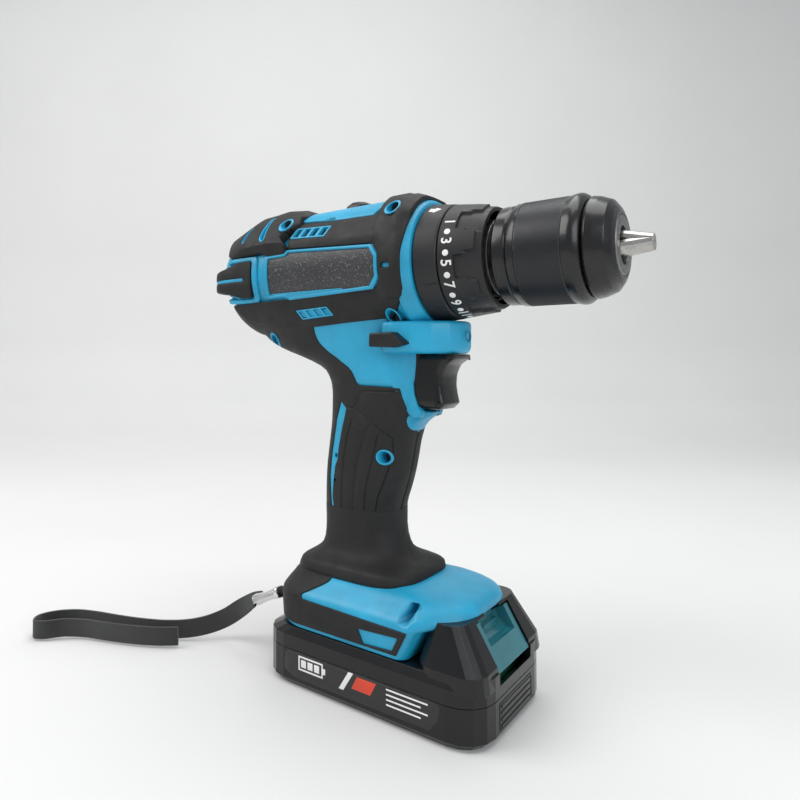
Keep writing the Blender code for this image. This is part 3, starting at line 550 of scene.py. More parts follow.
# The handle's sections: height, rear x, front x, half width, squareness.
GRIP = np.array([
    (44, -38.4, 2.6, 16.5, 2.5), (60, -38.2, 2.4, 16.5, 2.5), (68, -38.2, 1.4, 16.5, 2.5),
    (76, -39, 0.8, 16.5, 2.5), (84, -39.4, 1.4, 16.5, 2.5), (92, -39.5, 4.1, 16.5, 2.5),
    (100, -39.2, 6.5, 16.5, 2.5), (108, -38.2, 8.2, 16.6, 2.5), (116, -37, 9.8, 16.7, 2.5),
    (124, -36.1, 12.4, 16.8, 2.5), (132, -35.9, 15, 16.9, 2.5), (139, -35.9, 16, 17.2, 2.5),
    (145, -37.4, 17, 17.8, 2.5), (150, -41.6, 18, 18.5, 2.5), (154, -51, 19, 19.3, 2.5),
    (158, -63.5, 19.6, 20.2, 2.5), (162, -74, 20, 21.2, 2.5), (167, -81.5, 20, 22.6, 2.5),
    (173, -86, 20, 24.4, 2.6), (180, -90, 20, 26.8, 2.8), (187, -94, 20, 30.2, 3)])
SLOPES = np.gradient(GRIP, GRIP[:, 0], axis=0)


def section(z):
    """The handle's section at a height, smooth between the listed ones."""
    z = np.clip(np.asarray(z, float), GRIP[0, 0], GRIP[-1, 0])
    i = np.clip(np.searchsorted(GRIP[:, 0], z) - 1, 0, len(GRIP) - 2)
    span = GRIP[i + 1, 0] - GRIP[i, 0]
    t = ((z - GRIP[i, 0]) / span)[:, None]
    a, b = GRIP[i], GRIP[i + 1]
    m, n = SLOPES[i] * span[:, None], SLOPES[i + 1] * span[:, None]
    value = ((2 * t ** 3 - 3 * t ** 2 + 1) * a + (t ** 3 - 2 * t ** 2 + t) * m
             + (3 * t ** 2 - 2 * t ** 3) * b + (t ** 3 - t ** 2) * n)
    return value.T[1:]


def power_of(value, exponent):
    return np.sign(value) * np.abs(value) ** exponent


def grip_skin(u, z):
    rear, front, half, square = section(z)
    turn = u * math.pi / GRIP_ARC
    x = (front + rear) / 2 + (front - rear) / 2 * power_of(np.cos(turn), 2 / square)
    return np.stack([x, -half * power_of(np.sin(turn), 2 / square), z], axis=1)


def stood_off(skin, u, v, h):
    """Points that stand h outside a skin of the right side, whose u runs from front to rear."""
    u, v = np.asarray(u, float), np.asarray(v, float)
    along = skin(u + 0.3, v) - skin(u - 0.3, v)
    up = skin(u, v + 0.4) - skin(u, v - 0.4)
    return skin(u, v) + unit(np.cross(up, along)) * np.asarray(h, float)[:, None]


def on_grip(u, v, h):
    """Arc from the front line, height, and how far the point stands off the handle's skin."""
    return stood_off(grip_skin, u, v, h)


def grip_uv(outline):
    """A side view's (x, z) points as (u, z) on the handle."""
    out = []
    for point in outline:
        rear, front, _, square = [float(s[0]) for s in section([point[1]])]
        share = max(-0.9995, min(0.9995, (point[0] - (front + rear) / 2) / ((front - rear) / 2)))
        turn = math.acos(math.copysign(abs(share) ** (square / 2), share))
        out.append((turn / math.pi * GRIP_ARC, point[1], *point[2:]))
    return out


def body_v(z, radius):
    """The arc v at a height on a cylinder of this radius."""
    return ARC * math.acos(max(-1, min(1, (z - AXIS_Z) / radius)))


def screw_mouth(name, x, z, surface, radius=2.75, wall=0.95, depth=9):
    """A teal tube round a sunk screw. surface(x, z) is how far the skin lies from the middle plane."""
    rings = []
    for r, sink in ((radius + wall, 3), (radius + wall, 0), (radius + wall - 0.3, -0.35),
                    (radius + 0.3, -0.35), (radius, 0), (radius, depth), (0.3, depth)):
        ring = circle(x, z, r, 36)
        level = [surface(x, z) if sink == depth else surface(*point) for point in ring]
        rings.append([(px, sink - height, pz) for (px, pz), height in zip(ring, level)])
    right = loft(name + "_right", rings, TEAL, caps=False)
    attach(mirrored(right, name + "_left"), "drill")


make_camera()


# ---------------------------------------------------------------- wrist strap


STRAP_EXIT = (-53, -21.5, 38.2)
STRAP_CRIMP_START = (-58, -21, 35.4)
STRAP_CRIMP_END = (-77.5, -17.9, 25.9)
STRAP_ROUTE = [(-76.5, -18, 26.5), (-82.2, -17.2, 23.7), (-90, -17.5, 18.5), (-98, -21, 12.5),
               (-106, -27, 8.5), (-114, -34, 6.6), (-124, -41.5, 6), (-136, -48, 6), (-150, -53.5, 6),
               (-164, -58, 6), (-176, -63.5, 6), (-184, -72, 6), (-186, -81, 6), (-181, -86.5, 6),
               (-175, -83, 6), (-170, -75.5, 6), (-160, -68.5, 6), (-147, -63.5, 6), (-133, -57.5, 6),
               (-120, -50, 6), (-111.5, -43.5, 6.2)]
STRAP_WIDTH = 9.6
STRAP_THICK = 1.5


def smooth_path(route, per_span):
    """Points on a Catmull-Rom curve through the route."""
    ends = [Vector(route[0]) * 2 - Vector(route[1])] + [Vector(p) for p in route]
    ends.append(Vector(route[-1]) * 2 - Vector(route[-2]))
    points = []
    for i in range(1, len(ends) - 2):
        a, b, c, d = ends[i - 1:i + 3]
        for k in range(per_span):
            t = k / per_span
            points.append(0.5 * (2 * b + (c - a) * t + (2 * a - 5 * b + 4 * c - d) * t * t
                                 + (3 * b - a - 3 * c + d) * t * t * t))
    points.append(Vector(route[-1]))
    return points


def ribbon(name, path, width, thick, lean, finish):
    """A flat strap that follows a path. lean(share) turns its width away from upright, in radians."""
    rings, lengths = [], [0]
    for a, b in zip(path, path[1:]):
        lengths.append(lengths[-1] + (b - a).length)
    corner = [(-0.5, -0.42), (-0.47, -0.5), (0.47, -0.5), (0.5, -0.42), (0.5, 0.42), (0.47, 0.5),
              (-0.47, 0.5), (-0.5, 0.42)]
    for i, here in enumerate(path):
        along = (path[min(i + 1, len(path) - 1)] - path[max(i - 1, 0)]).normalized()
        up = Vector((0, 0, 1))
        up = (up - along * up.dot(along)).normalized()
        side = along.cross(up)
        turn = lean(lengths[i] / lengths[-1])
        wide = up * math.cos(turn) + side * math.sin(turn)
        flat = side * math.cos(turn) - up * math.sin(turn)
        rings.append([here + wide * a * width + flat * b * thick for a, b in corner])
    made = loft(name, rings, finish)
    layer = made.data.uv_layers.new(name="weave")
    for loop in made.data.loops:
        ring, spot = divmod(loop.vertex_index, len(corner))
        layer.data[loop.index].uv = (lengths[min(ring, len(lengths) - 1)], corner[spot][0] * width)
    return made


def make_strap():
    route = smooth_path(STRAP_ROUTE, 8)
    webbing = ribbon("strap_webbing_woven", route, STRAP_WIDTH, STRAP_THICK,
                     lambda share: 0.9 * math.exp(-share * 14), WEBBING)
    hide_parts("strap_webbing")
    start, end, leaves = [Vector(p) for p in (STRAP_CRIMP_START, STRAP_CRIMP_END, STRAP_EXIT)]
    along = (end - start).normalized()
    up = (Vector((0, 0, 1)) - along * along.z).normalized()
    side = along.cross(up)
    rings = []
    for share, high, wide in ((-0.02, 2.5, 3), (0, 2.9, 3.4), (0.06, 3, 3.6), (0.1, 2.8, 3.5),
                              (0.5, 2.3, 3.8), (0.9, 2.8, 3.5), (0.94, 3, 3.6), (1, 2.9, 3.4),
                              (1.02, 2.4, 2.9)):
        rings.append([start.lerp(end, share) + up * high * float(power_of(math.cos(t), 0.7))
                      + side * wide * float(power_of(math.sin(t), 0.7)) for t in turns(28)])
    crimp = loft("strap_crimp_sleeve", rings, CRIMP)
    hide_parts("strap_crimp")
    lace_path = [leaves + Vector((2.6, 0, 0.5)), leaves, start + along * 2]
    rings = []
    for i in range(13):
        k = min(i // 6, 1)
        centre = lace_path[k].lerp(lace_path[k + 1], i / 6 - k)
        rings.append([centre + (up * math.cos(a) + side * math.sin(a)) * (1.75 + 0.12 * (i % 2))
                      for a in turns(16)])
    lace = loft("strap_lace", rings, RUBBER)
    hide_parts("strap_cord")


make_strap()


# ---------------------------------------------------------------- motor housing


def tabled(*pairs):
    """A height that changes evenly along u between the listed (u, height) pairs."""
    return lambda u, v: np.interp(u, *zip(*pairs))


CORE_RADIUS = 30.75
PAD_SPLIT = 41.2
ARMOUR_RIDGE = tabled((-101, 26.6), (-94, 28.9), (-88, 31), (-81, 33.3), (-74.5, 35.4), (-66.5, 35.8),
                      (-65.5, 36), (-58, 36.7), (-46, 35.4), (-42.5, 33.2))
ARMOUR_EDGE = 36.6
FRAME_OUTER = [(-60.7, 40.8), (-47.8, 40.6), (-46.3, 38.8), (4.5, 41.6), (8.2, 46.9), (8.2, 56.5),
               (4.3, 61.7), (-46.1, 64), (-48, 62.2), (-60.7, 62.6)]
FRAME_INNER = [(-58.6, 42.2), (-47.4, 41.8), (-45.4, 40.1), (3.3, 43), (6.3, 47.4), (6.2, 55.8),
               (2.5, 60.1), (-45.6, 62.3), (-47.4, 60.6), (-58.6, 60.9)]
TOP_VENT = [(-45.8, 33.2), (-23.5, 34.6), (-21.2, 28.4), (-43.6, 26.6)]
NECK_SCREW = (9.6, 173.5)
REAR_SCREW = (-49.5, 221.8)
FRONT_SCREW = (12.5, 222)
GRIP_SCREW = (0.4, 108.2)
LOWER_SCREW = (-66.3, 164.6)
CROWN = 12.2


def crowned(radius, v):
    """The radius with the round's top cut flat."""
    flat = radius * math.cos(CROWN / ARC) / np.cos(np.minimum(v, CROWN) / ARC)
    return np.where(v < CROWN, flat, radius)


def armour_height(u, v):
    ridge = ARMOUR_RIDGE(u, v)
    foot = np.minimum(31.6, ridge - 0.5)
    bevel = np.clip((PAD_SPLIT - v) / (PAD_SPLIT - ARMOUR_EDGE), 0, 1)
    return crowned(foot + (ridge - foot) * bevel, v)


def hump_front(v):
    """Where the front boss's forward bevel starts."""
    return np.interp(v, [0, 9, 13.6, 24.3, 40.6, 80], [19, 18, 13.4, 16.8, 18, 18.6])


def band_height(u, v):
    crease = np.interp(u, [-50, -44.2, 3.7, 17.5], [33.5, 34.1, 38, 39.2])
    lower = np.clip((v - crease) / np.maximum(PAD_SPLIT - crease, 0.5), 0, 1)
    beside = np.interp(u, [7.6, 9.4], [1.1, 0])
    base = 32.5 - beside * lower
    crest = 34.8 - 0.22 * np.clip(v - 27, 0, 20)
    hump = np.minimum(crest, 32.5 + 1.25 * (u - 3.4 - 0.05 * (v - 14)))
    hump = np.minimum(hump, crest - 0.45 * np.maximum(u - hump_front(v), 0))
    base = np.where((u > 0) & (v < 40), np.maximum(base, hump), base)
    base = base - 0.35 * np.maximum(u - 17.4, 0) * (v > 30)
    base = base - 0.9 * np.clip((26.5 - v) / 4, 0, 1) * (u < 3.4)
    return crowned(base, v)


def belly_height(u, v):
    return np.interp(u, [-101, -96, -90, -84, -78, -60], [19.8, 24, 28.6, 31.4, 32, 32.2])


def core_dip(x, turn):
    """What the shell's rear end loses below, where the black belly slants up."""
    below = min(1, max(0, (1.22 - abs(turn - math.pi)) / 0.12))
    return below * float(np.interp(x, [-103, -97.4, -91, -84, -78], [0, 4.6, 2.6, 0.5, 0]))


def on_shell(u, v, h):
    """Points of a side view on whichever stands out further, the housing's round or the neck."""
    rear, front, half, square = section(v)
    share = np.clip(np.abs((u - (front + rear) / 2) / ((front - rear) / 2)), 0, 1)
    neck = half * (1 - share ** square) ** (1 / square)
    round_part = np.sqrt(np.maximum(31.9 ** 2 - (v - AXIS_Z) ** 2, 0))
    out = np.log(np.exp(neck) + np.exp(round_part))
    return np.stack([u, -(out + h), v], axis=1)


def make_body():
    """The teal shell of the motor housing, its collar ring and everything black that lies on it."""
    core = rounded([(-102.9, 1), (-102.9, 13.2), (-100.2, 20), (-96.2, 24.6), (-90.5, 28.2),
                    (-83, CORE_RADIUS), (16, CORE_RADIUS), (16, 24), (-94, 24), (-99, 19), (-99, 1)], 0.8)
    shell = turned("body_core", core, TEAL, segments=180, field=core_dip)
    for x, z in (FRONT_SCREW, REAR_SCREW, NECK_SCREW, LOWER_SCREW):
        passage = [[(px, y, pz) for px, pz in circle(x, z, 3.1, 32)] for y in (-60, 60)]
        cut_with(shell, loft("bore_cutter", passage, SHADE_BLACK))
    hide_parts("housing_right", "housing_left")
    ring = rounded([(15.6, 24), (15.6, 31.2), (16.6, 31.9, 0.4), (17.7, 31.7, 0.4), (22.7, 28.6, 0.5),
                    (22.9, 27.6, 0.2), (22.9, 24)], 0.2)
    turned("collar_bezel", ring, TEAL)

    armour = rounded([(-101, 0.25, 0), (-43.4, 0.25, 0), (-42.4, 17), (-44.6, 19.4), (-43.2, 24.4),
                      (-50.2, 33.4), (-46.4, 37.4), (-46.8, 39.4), (-48.8, 41.1), (-59.6, 41.1),
                      (-62.3, 39.2), (-86, 39.4), (-90.6, 36.4), (-93.6, 30), (-97.4, 21), (-100.4, 12)], 0.7)
    slots = [rounded([(-80.9, 30.4), (-79, 32.6), (-76, 32.4), (-74.6, 24), (-76.6, 20.8), (-80, 22.6)], 1.6),
             rounded([(-64.9, 32.6), (-62.6, 35), (-59.9, 34.2), (-63.1, 16.8), (-65.9, 17)], 1.1)]
    rear_mouth = circle(REAR_SCREW[0], body_v(REAR_SCREW[1], 36.6), 3.6)
    crest = [[(-90, ARMOUR_EDGE), (-46, ARMOUR_EDGE)],
             [(-58, 0.3), (-58, ARMOUR_EDGE)], [(-66, 0.3), (-66, 36)], [(-74.5, 0.3), (-74.5, 36)],
             [(-46, 0.3), (-46, 30)], [(-100, CROWN), (-43, CROWN)]]
    right, left = both("armour", on_body, armour, 24, armour_height, RUBBER, edge=0.8,
                       holes=slots + [rear_mouth], creases=crest)
    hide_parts("upper_pad_right")
    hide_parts("upper_pad_left")
    for number, slot in enumerate(slots):
        both("armour_slot_rim_%d" % number, on_body, slot, 28, lambda u, v: ARMOUR_RIDGE(u, v) - 0.35, TEAL,
             edge=0.25, holes=[inset(anticlockwise(resampled(slot, 1.2)), 0.75)], step=1.2)
        both("armour_slot_floor_%d" % number, on_body, slot, 27.5, lambda u, v: ARMOUR_RIDGE(u, v) - 3.4,
             TEAL, edge=0.2)
    make_screw_mouth_pairs()

    band = rounded([(-47, 0.25, 0), (20.7, 0.25, 0), (21.7, 26.9), (20.8, 36.9), (19.6, 45.9), (19.3, 54.4),
                    (19.1, 62.6), (17.4, 66.4), (5, 66.4), (4.6, 62), (8.5, 56.7), (8.5, 46.7), (4.7, 41.2),
                    (-46.2, 38.3)], 0.7)
    tiny_slot = rounded([(10.4, 50.6), (14.6, 50.6), (14.6, 52.7), (10.4, 52.7)], 0.8)
    lower_vent = [(-43.6, 178.3), (-23.9, 179.3), (-20.7, 174.9), (-40.3, 173.7)]
    front_mouth = circle(FRONT_SCREW[0], body_v(FRONT_SCREW[1], 34), 3.6)
    creases = [[(-44.5, 34.1), (3.7, 38), (17.5, 39.2)],
               [(hump_front(v), v) for v in (0.5, 13.6, 24.3, 39.6)],
               [(5.3, 0.5), (5.3, 39.6)], [(3.4, 14), (3.9, 26)], [(5.5, 27), (20, 27)],
               [(-2, 40.1), (20, 40.1)], [(17.4, 40), (17.4, 64)], [(4, CROWN), (20, CROWN)]]
    openings = [rounded(TOP_VENT, 0.6), front_mouth, tiny_slot]
    right, left = both("band", on_body, band, 30.2, band_height, RUBBER, edge=0.55, holes=openings,
                       creases=creases, step=2.2)
    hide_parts("lower_pad_right")
    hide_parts("lower_pad_left")
    flank = rounded([(-86, 183), (-46.7, 184), (-45.6, 184.6), (4.4, 186.6), (9.2, 188.2), (19.2, 186.2),
                     (18, 182), (14.6, 178.2), (12.2, 175.8), (7.6, 172.4), (4.6, 172.7), (-33.6, 170),
                     (-44, 172), (-60, 171), (-76, 173), (-84, 178)], 0.6)
    neck_mouth = circle(*NECK_SCREW, 3.5)
    both("lower_flank", on_shell, flank, -1.6, flank_height, RUBBER, edge=0.45,
         holes=[rounded(lower_vent, 0.6), neck_mouth], step=2.6,
         creases=[[(-46, 180.6), (14, 181.6)], [(-48, 182), (-38, 172)]])
    bottom = math.pi * ARC - 0.2
    belly = rounded([(-86, 65.2), (-40, 65.2), (-40, bottom, 0), (-100.6, bottom, 0), (-99.5, 86),
                     (-95.6, 73.5), (-92, 67.6)], 0.8)
    both("belly", on_body, belly, 18, belly_height, RUBBER, edge=0.4, step=3)
    both("band_slot_floor", on_body, tiny_slot, 30.2, 31.2, TEAL, edge=0.15, step=1)
    make_vent("upper", TOP_VENT, on_body, 32.6, 30.9)
    make_vent("lower", lower_vent, on_shell, 0.35, -0.75)

    strip = rounded([(-43.6, 0.25, 0), (3.4, 0.25, 0), (3.7, 19.6), (1.4, 25.6), (-18.6, 24.5),
                     (-44.2, 20.7)], 0.6)
    fold = [(-46.3, 15.6), (-20, 19.9), (-1.7, 22.4), (4, 22.9)]

    def strip_height(u, v):
        past = v - np.interp(u, *zip(*fold))
        return crowned(32.9 - 0.12 * np.maximum(past, 0), v)
    both("top_strip", on_body, strip, 28, strip_height, TEAL, edge=0.5,
         creases=[fold, [(-44, CROWN), (4, CROWN)]])

    both("label_frame", on_body, rounded(FRAME_OUTER, 0.8), 30.2, 32, TEAL, edge=0.55,
         holes=[rounded(FRAME_INNER, 0.7)], step=2)
    plate = rounded(inset(anticlockwise(FRAME_INNER), -0.8), 0.6)
    right, left = both("label_plate", on_body, plate, 30, 31.05, PLATE, edge=0.15)
    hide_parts("side_plate_right")
    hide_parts("side_plate_left")
    bracket = rounded([(-88.5, 39.9), (-71.5, 39.7), (-67.2, 39.9), (-66, 41.4), (-65.7, 61.8), (-67.2, 64),
                       (-91, 64.2), (-90.5, 61.6), (-70.4, 61.7), (-69.2, 60.4), (-69.4, 43.2),
                       (-70.7, 41.9), (-88, 42.2)], 0.6)
    both("rear_bracket", on_body, bracket, 27, tabled((-97, 28), (-91, 29.8), (-84, 31.9), (-60, 31.9)), TEAL,
         edge=0.5, step=2)


def cut_with(made, cutter):
    """Cuts the cutter's shape out of the piece, then removes the cutter."""
    step = made.modifiers.new("cut", "BOOLEAN")
    step.object = cutter
    mesh = baked(made)
    made.modifiers.clear()
    made.data = mesh
    bpy.data.objects.remove(cutter, do_unlink=True)


def make_screw_mouth_pairs():
    def on_round(radius, z):
        return math.sqrt(max(radius ** 2 - (z - AXIS_Z) ** 2, 1))

    def on_armour(x, z):
        return on_round(float(ARMOUR_RIDGE(x, 0)) + 0.1, z)

    def on_hump(x, z):
        return on_round(34.9, z) - 0.3 * max(x - 14, 0)

    def on_neck(x, z):
        return -on_shell(np.array([x]), np.array([z]), 0.3)[0][1]

    screw_mouth("rear_screw_mouth", *REAR_SCREW, on_armour)
    screw_mouth("front_screw_mouth", *FRONT_SCREW, on_hump)
    screw_mouth("neck_screw_mouth", *NECK_SCREW, on_neck, 2.6, 0.9, 8)


def make_vent(name, outline, place, roof, floor):
    """A teal grille of four slanted slots over a near-black floor of painted shade."""
    a, b, c, d = [np.array(p, float) for p in outline]
    count, wall, margin = 4, 0.085, 0.05
    width = (1 - 2 * margin - (count - 1) * wall) / count
    slots = []
    for k in range(count):
        first = margin + k * (width + wall)
        corners = ((first, 0.14), (first + width, 0.14), (first + width, 0.86), (first, 0.86))
        slots.append([(a + (b - a) * s) * (1 - t) + (d + (c - d) * s) * t for s, t in corners])
    both("vent_grille_" + name, place, rounded(outline, 0.6), floor - 0.5, roof, TEAL, edge=0.3,
         holes=[rounded(s, 0.3) for s in slots], step=1.3)
    # The vent floor is a near-black sheet of painted shade.
    both("vent_floor_" + name, place, outline, floor - 1, floor, SHADE_BLACK, edge=0.2)


def flank_height(u, v):
    """The side below the label, its upper edge sunk like the label's."""
    sunk = 1.1 * np.clip((v - 181.4) / 2.2, 0, 1) * (u < 8) * (u > -47)
    return 0.15 - sunk + 0.35 * np.clip((-46 - u) / 4, 0, 1)


BUMPER_CORNER = (-88.5, 15.2)
BUMPER_RADIUS = 17.0
BUMPER_TURN = BUMPER_RADIUS * math.pi / 2


def on_bumper(u, v, h):
    """Along the bumper's plan, height, and how far out."""
    cx, cy = BUMPER_CORNER
    turn = np.clip((cx - u) / BUMPER_RADIUS, 0, math.pi / 2)
    beyond = np.maximum(cx - BUMPER_TURN - u, 0)
    reach = BUMPER_RADIUS + h
    x = np.where(u > cx, u, cx - reach * np.sin(turn))
    y = np.where(u > cx, -(cy + reach), -(cy + reach * np.cos(turn)) + beyond)
    return np.stack([x, y, v], axis=1)


def make_bumper():
    rear = BUMPER_CORNER[0] - BUMPER_TURN - BUMPER_CORNER[1] + 0.2
    outline = rounded([(-70.2, 205.2), (-70.2, 186.3), (-78, 186.2), (-90, 189.4), (-97, 190.6),
                       (rear, 190.9, 0), (rear, 201.6, 0), (-97, 201.4), (-90, 202.3), (-79, 205.3)], 0.9)

    def height(u, v):
        return -0.1 - 0.16 * np.maximum(np.abs(v - 195.8) - 3.6, 0)
    creases = [[(-70, 199.4), (rear, 199.4)], [(-70, 192.2), (rear, 192.2)]]
    right, _ = both("bumper", on_bumper, outline, -3.5, height, RUBBER, edge=0.6, creases=creases,
                    grooves=[([(-75.2, 195.7), (rear - 1, 195.7)], 1.25, 0.8)], step=2.2)
    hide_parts("rear_bumper")
    inlay = rounded([(-75.6, 196.5), (-75.6, 194.9), (rear, 194.9, 0), (rear, 196.5, 0)], 0.4)
    both("bumper_inlay", on_bumper, inlay, -1.6, -0.25, TEAL, edge=0.25)


# ---------------------------------------------------------------- handle


def make_grip():
    """The teal core of neck and handle under a rubber skin with moulded lines."""
    lower_mouth = grip_uv(circle(*LOWER_SCREW, 3.4))
    neck_mouth = grip_uv(circle(*NECK_SCREW, 3.4))
    sheet = [(0.15, 119, 0), (0.15, 187, 0), (GRIP_ARC - 0.15, 187, 0), (GRIP_ARC - 0.15, 119, 0)]
    both("neck_shell", on_grip, rounded(sheet, 0.2), -3.6, neck_height, TEAL, edge=0.2,
         holes=[lower_mouth, neck_mouth], step=2.2, creases=[[(0.2, 141.2), (GRIP_ARC - 0.2, 141.2)]])

    boundary = grip_uv([(13.5, 125.2), (12.3, 127.3), (10.9, 131.7), (9.7, 136.3), (9, 140.6),
                        (-12.6, 141.6), (-21, 152.8), (-34.5, 168.9), (-34.5, 174), (-67.2, 183)])
    front = [(0.15, 64, 0), (0.15, 124.6, 0)]
    rear = [(GRIP_ARC - 0.15, 186, 0), (GRIP_ARC - 0.15, 64, 0)]
    stripe = [(-23.8, 133.6), (-27.4, 124.1), (-30.2, 109.2), (-31.6, 96.1), (-30.3, 85), (-28.4, 75.6),
              (-25.6, 69.8), (-24.7, 69.9), (-26, 75.3), (-27.8, 80.6), (-29.3, 86.7), (-28.6, 94.9),
              (-27.6, 101.4), (-25.9, 105.2), (-25.2, 110.6), (-22.7, 121.3), (-20.1, 130.3)]
    grip_hole = grip_uv(circle(*GRIP_SCREW, 3.6))
    lower_hole = grip_uv(circle(*LOWER_SCREW, 3.6))
    arcs = [[(-16.6, 124.9), (-19.3, 117), (-21, 109), (-22.4, 99), (-22.9, 90), (-22.6, 79.9), (-23.4, 69)],
            [(-7.5, 121.8), (-11.4, 112), (-14, 103.1), (-15.7, 92), (-16.2, 80), (-16, 71.5)],
            [(-2.6, 117.2), (-6.7, 102), (-9.6, 90), (-10.2, 77.1), (-10.4, 72.6)],
            [(4.3, 116.6), (3.9, 109), (1, 100.6), (-3.6, 89), (-5.7, 79), (-5.6, 75.6)],
            [(-24, 68.4), (-16, 71.2), (-10.5, 72.8), (-5.2, 75.8)],
            [(-13.9, 130), (-8.2, 126.6), (-1.9, 121.6), (4.6, 117)],
            [(-19.5, 131.2), (-15.6, 130.3), (-13.2, 133.2), (-11.6, 137.4), (-8, 139), (8.4, 139.2)]]
    grooves = [(grip_uv(resampled(rounded(a, 3, closed=False), 1.6, False)), 0.55, 0.5) for a in arcs]
    outline = rounded(front + boundary + rear, 0.8)
    stripe = grip_uv(rounded(stripe, 0.5))
    right, left = both("grip_skin", on_grip, outline, -2.4, 0, RUBBER, edge=0.5,
                       holes=[stripe, grip_hole, lower_hole], grooves=grooves, step=2.4)
    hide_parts("grip_rubber_right")
    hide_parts("grip_rubber_left")
    both("grip_stripe", on_grip, stripe, -2.2, -0.35, TEAL, edge=0.3, step=1.8,
         holes=[grip_uv(circle(-27.3, 106.9, 1.25, 16))])

    def on_handle(x, z):
        u, v = grip_uv([(x, z)])[0]
        return 0.15 - grip_skin(np.array([u]), np.array([v]))[0][1]
    screw_mouth("grip_screw_mouth", *GRIP_SCREW, on_handle, 2.7, 1, 5.6)
    screw_mouth("lower_screw_mouth", *LOWER_SCREW, on_handle, 2.7, 1, 7)


def neck_height(u, v):
    """The teal skin, sunk where the rubber lies over it."""
    return np.where((v > 141.4) | (u < 22), -0.45, -1.6)


def make_trigger():
    pocket = rounded([(0.15, 130.4, 0), (10.2, 130.4), (10.2, 157), (0.15, 157, 0)], 0.8)
    # The pocket behind the trigger is lined with near-black painted shade.
    both("trigger_pocket", on_grip, pocket, -3, -0.2, SHADE_BLACK, edge=0.2)
    outline = rounded([(9.8, 131.2), (25.8, 131.2, 1.6), (28.6, 133.8, 1.4), (27.6, 138, 5), (27, 142.2, 8),
                       (27.4, 147.2, 8), (29.3, 151.4, 5), (33.8, 154.4, 1.6), (34.2, 156.4, 1),
                       (9.8, 156.4)], 0.8, steps=6)
    trigger = slab("trigger_blade", outline, 9.3, GLOSS, 2.6, "trigger", 1.6)
    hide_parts("trigger")
    make_guard()
    selector = rounded([(0, 159.7), (12.5, 159.3), (18.2, 161), (12.4, 166.2), (0.2, 166)], 0.9)
    knob = slab("selector_bar", selector, 26.3, BLACK, 0.6, "direction_selector", 1.4)
    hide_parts("direction_selector")
    cheek = rounded([(4, 141), (8.4, 133), (11.4, 128.7), (14.4, 126.6), (17.6, 127.4), (18.4, 130),
                     (16, 132.8), (14.2, 138), (13.4, 146), (12.6, 157.2), (4, 157.2)], 1.4)
    both("trigger_cheek", on_side, cheek, 7, 10.9, TEAL, edge=0.9)


# The shelf's levels: height, how far forward and half width.
GUARD_LEVELS = [(119.5, 10.5, 11), (122.5, 12.5, 11.4), (124.6, 14.4, 11.4), (126.2, 16.6, 11.2),
                (127.6, 18.8, 10.8), (128.6, 19.9, 10.4), (129.5, 20.3, 10.2), (130.1, 19.8, 9.8),
                (130.5, 18.4, 9)]
GUARD_MIDDLE = 1.0
GUARD_DEPTH = 5.0


def oval(z, front, rear, half, exponent, count):
    """A level ring about the middle plane. Below 1, the exponent squares its corners."""
    middle, reach = (front + rear) / 2, (front - rear) / 2
    return [(middle + reach * float(power_of(math.cos(t), exponent)),
             half * float(power_of(math.sin(t), exponent)), z) for t in turns(count)]


def make_guard():
    """The shelf under the trigger. Its front half follows the levels, and its rear half is flatter."""
    rings = []
    for z, reach, half in GUARD_LEVELS:
        whole = oval(z, reach, 2 * GUARD_MIDDLE - reach, half, 0.8, 64)
        flatter = GUARD_DEPTH / (reach - GUARD_MIDDLE)
        rings.append([(GUARD_MIDDLE + (x - GUARD_MIDDLE) * (1 if x > GUARD_MIDDLE else flatter), y, z)
                      for x, y, z in whole])
    loft("guard_lip", rings, TEAL, sharp=50)


LAMP_Z = 164.5


def make_nose():
    """The lamp nose under the collar, with its lens ring."""
    side = [(4, 23), (10, 22), (18, 19.6), (26, 15.2), (32.5, 9.8), (35.6, 5.2), (36.3, 1.6)]
    plan = anticlockwise(resampled(rounded([(x, -y) for x, y in side] + side[::-1], 2.5), 1.5))
    levels = [(156.6, 2.6), (157, 1.5), (158, 0.6), (159.6, 0.1), (169.3, 0), (170.4, 0.25), (171.1, 0.9),
              (171.3, 1.7)]
    rings = [[(x, y, z) for x, y in inset(plan, depth)] for z, depth in levels]
    loft("lamp_nose", rings, TEAL, sharp=45)
    # The lamp well is lined with near-black painted shade.
    for name, radius, tube, reach, finish in (("lamp_ring", 2.9, 0.55, 36.55, TEAL),
                                              ("lamp_well", 2.2, 0.1, 36.45, SHADE_BLACK)):
        profile = ((33, radius + tube), (reach - 0.2, radius + tube), (reach, radius + tube - 0.2),
                   (reach, radius), (reach - 0.6, radius - 0.2), (reach - 0.6, 0.05))
        loft(name, [[(x, y, z) for y, z in circle(0, LAMP_Z, r, 32)] for x, r in profile], finish, caps=False)


# ---------------------------------------------------------------- base


# The base's levels: height, front x, rear x, half width, front and rear corner radius.
BASE_LEVELS = np.array([
    (27, 22, -50.4, 33, 5, 17), (27.6, 23, -51.6, 34.2, 5, 18), (29, 23.6, -52.2, 34.9, 5, 18),
    (40.4, 29.4, -52.6, 35.4, 6, 18), (41.6, 34.5, -52.6, 35.4, 12, 18), (43, 41, -52.2, 34.9, 20, 18),
    (44.2, 44.8, -51.8, 34.2, 24, 18), (45.2, 46.1, -51.2, 33.2, 24, 18), (48, 45.9, -49.8, 29.6, 22, 17),
    (49.4, 44.8, -49, 28, 21, 16), (50.6, 42, -48.4, 26.6, 20, 15), (51.8, 36, -47.4, 24.8, 18, 14),
    (53.2, 24, -45, 20, 14, 12)])
# How much of u the half front, the front corner, the side, the rear corner and the half rear take.
BASE_SPANS = (20, 20, 66, 20, 20)


def base_level(v):
    """Front x, rear x, half width, front and rear corner radius at a height."""
    return [np.interp(v, BASE_LEVELS[:, 0], BASE_LEVELS[:, k]) for k in range(1, 6)]


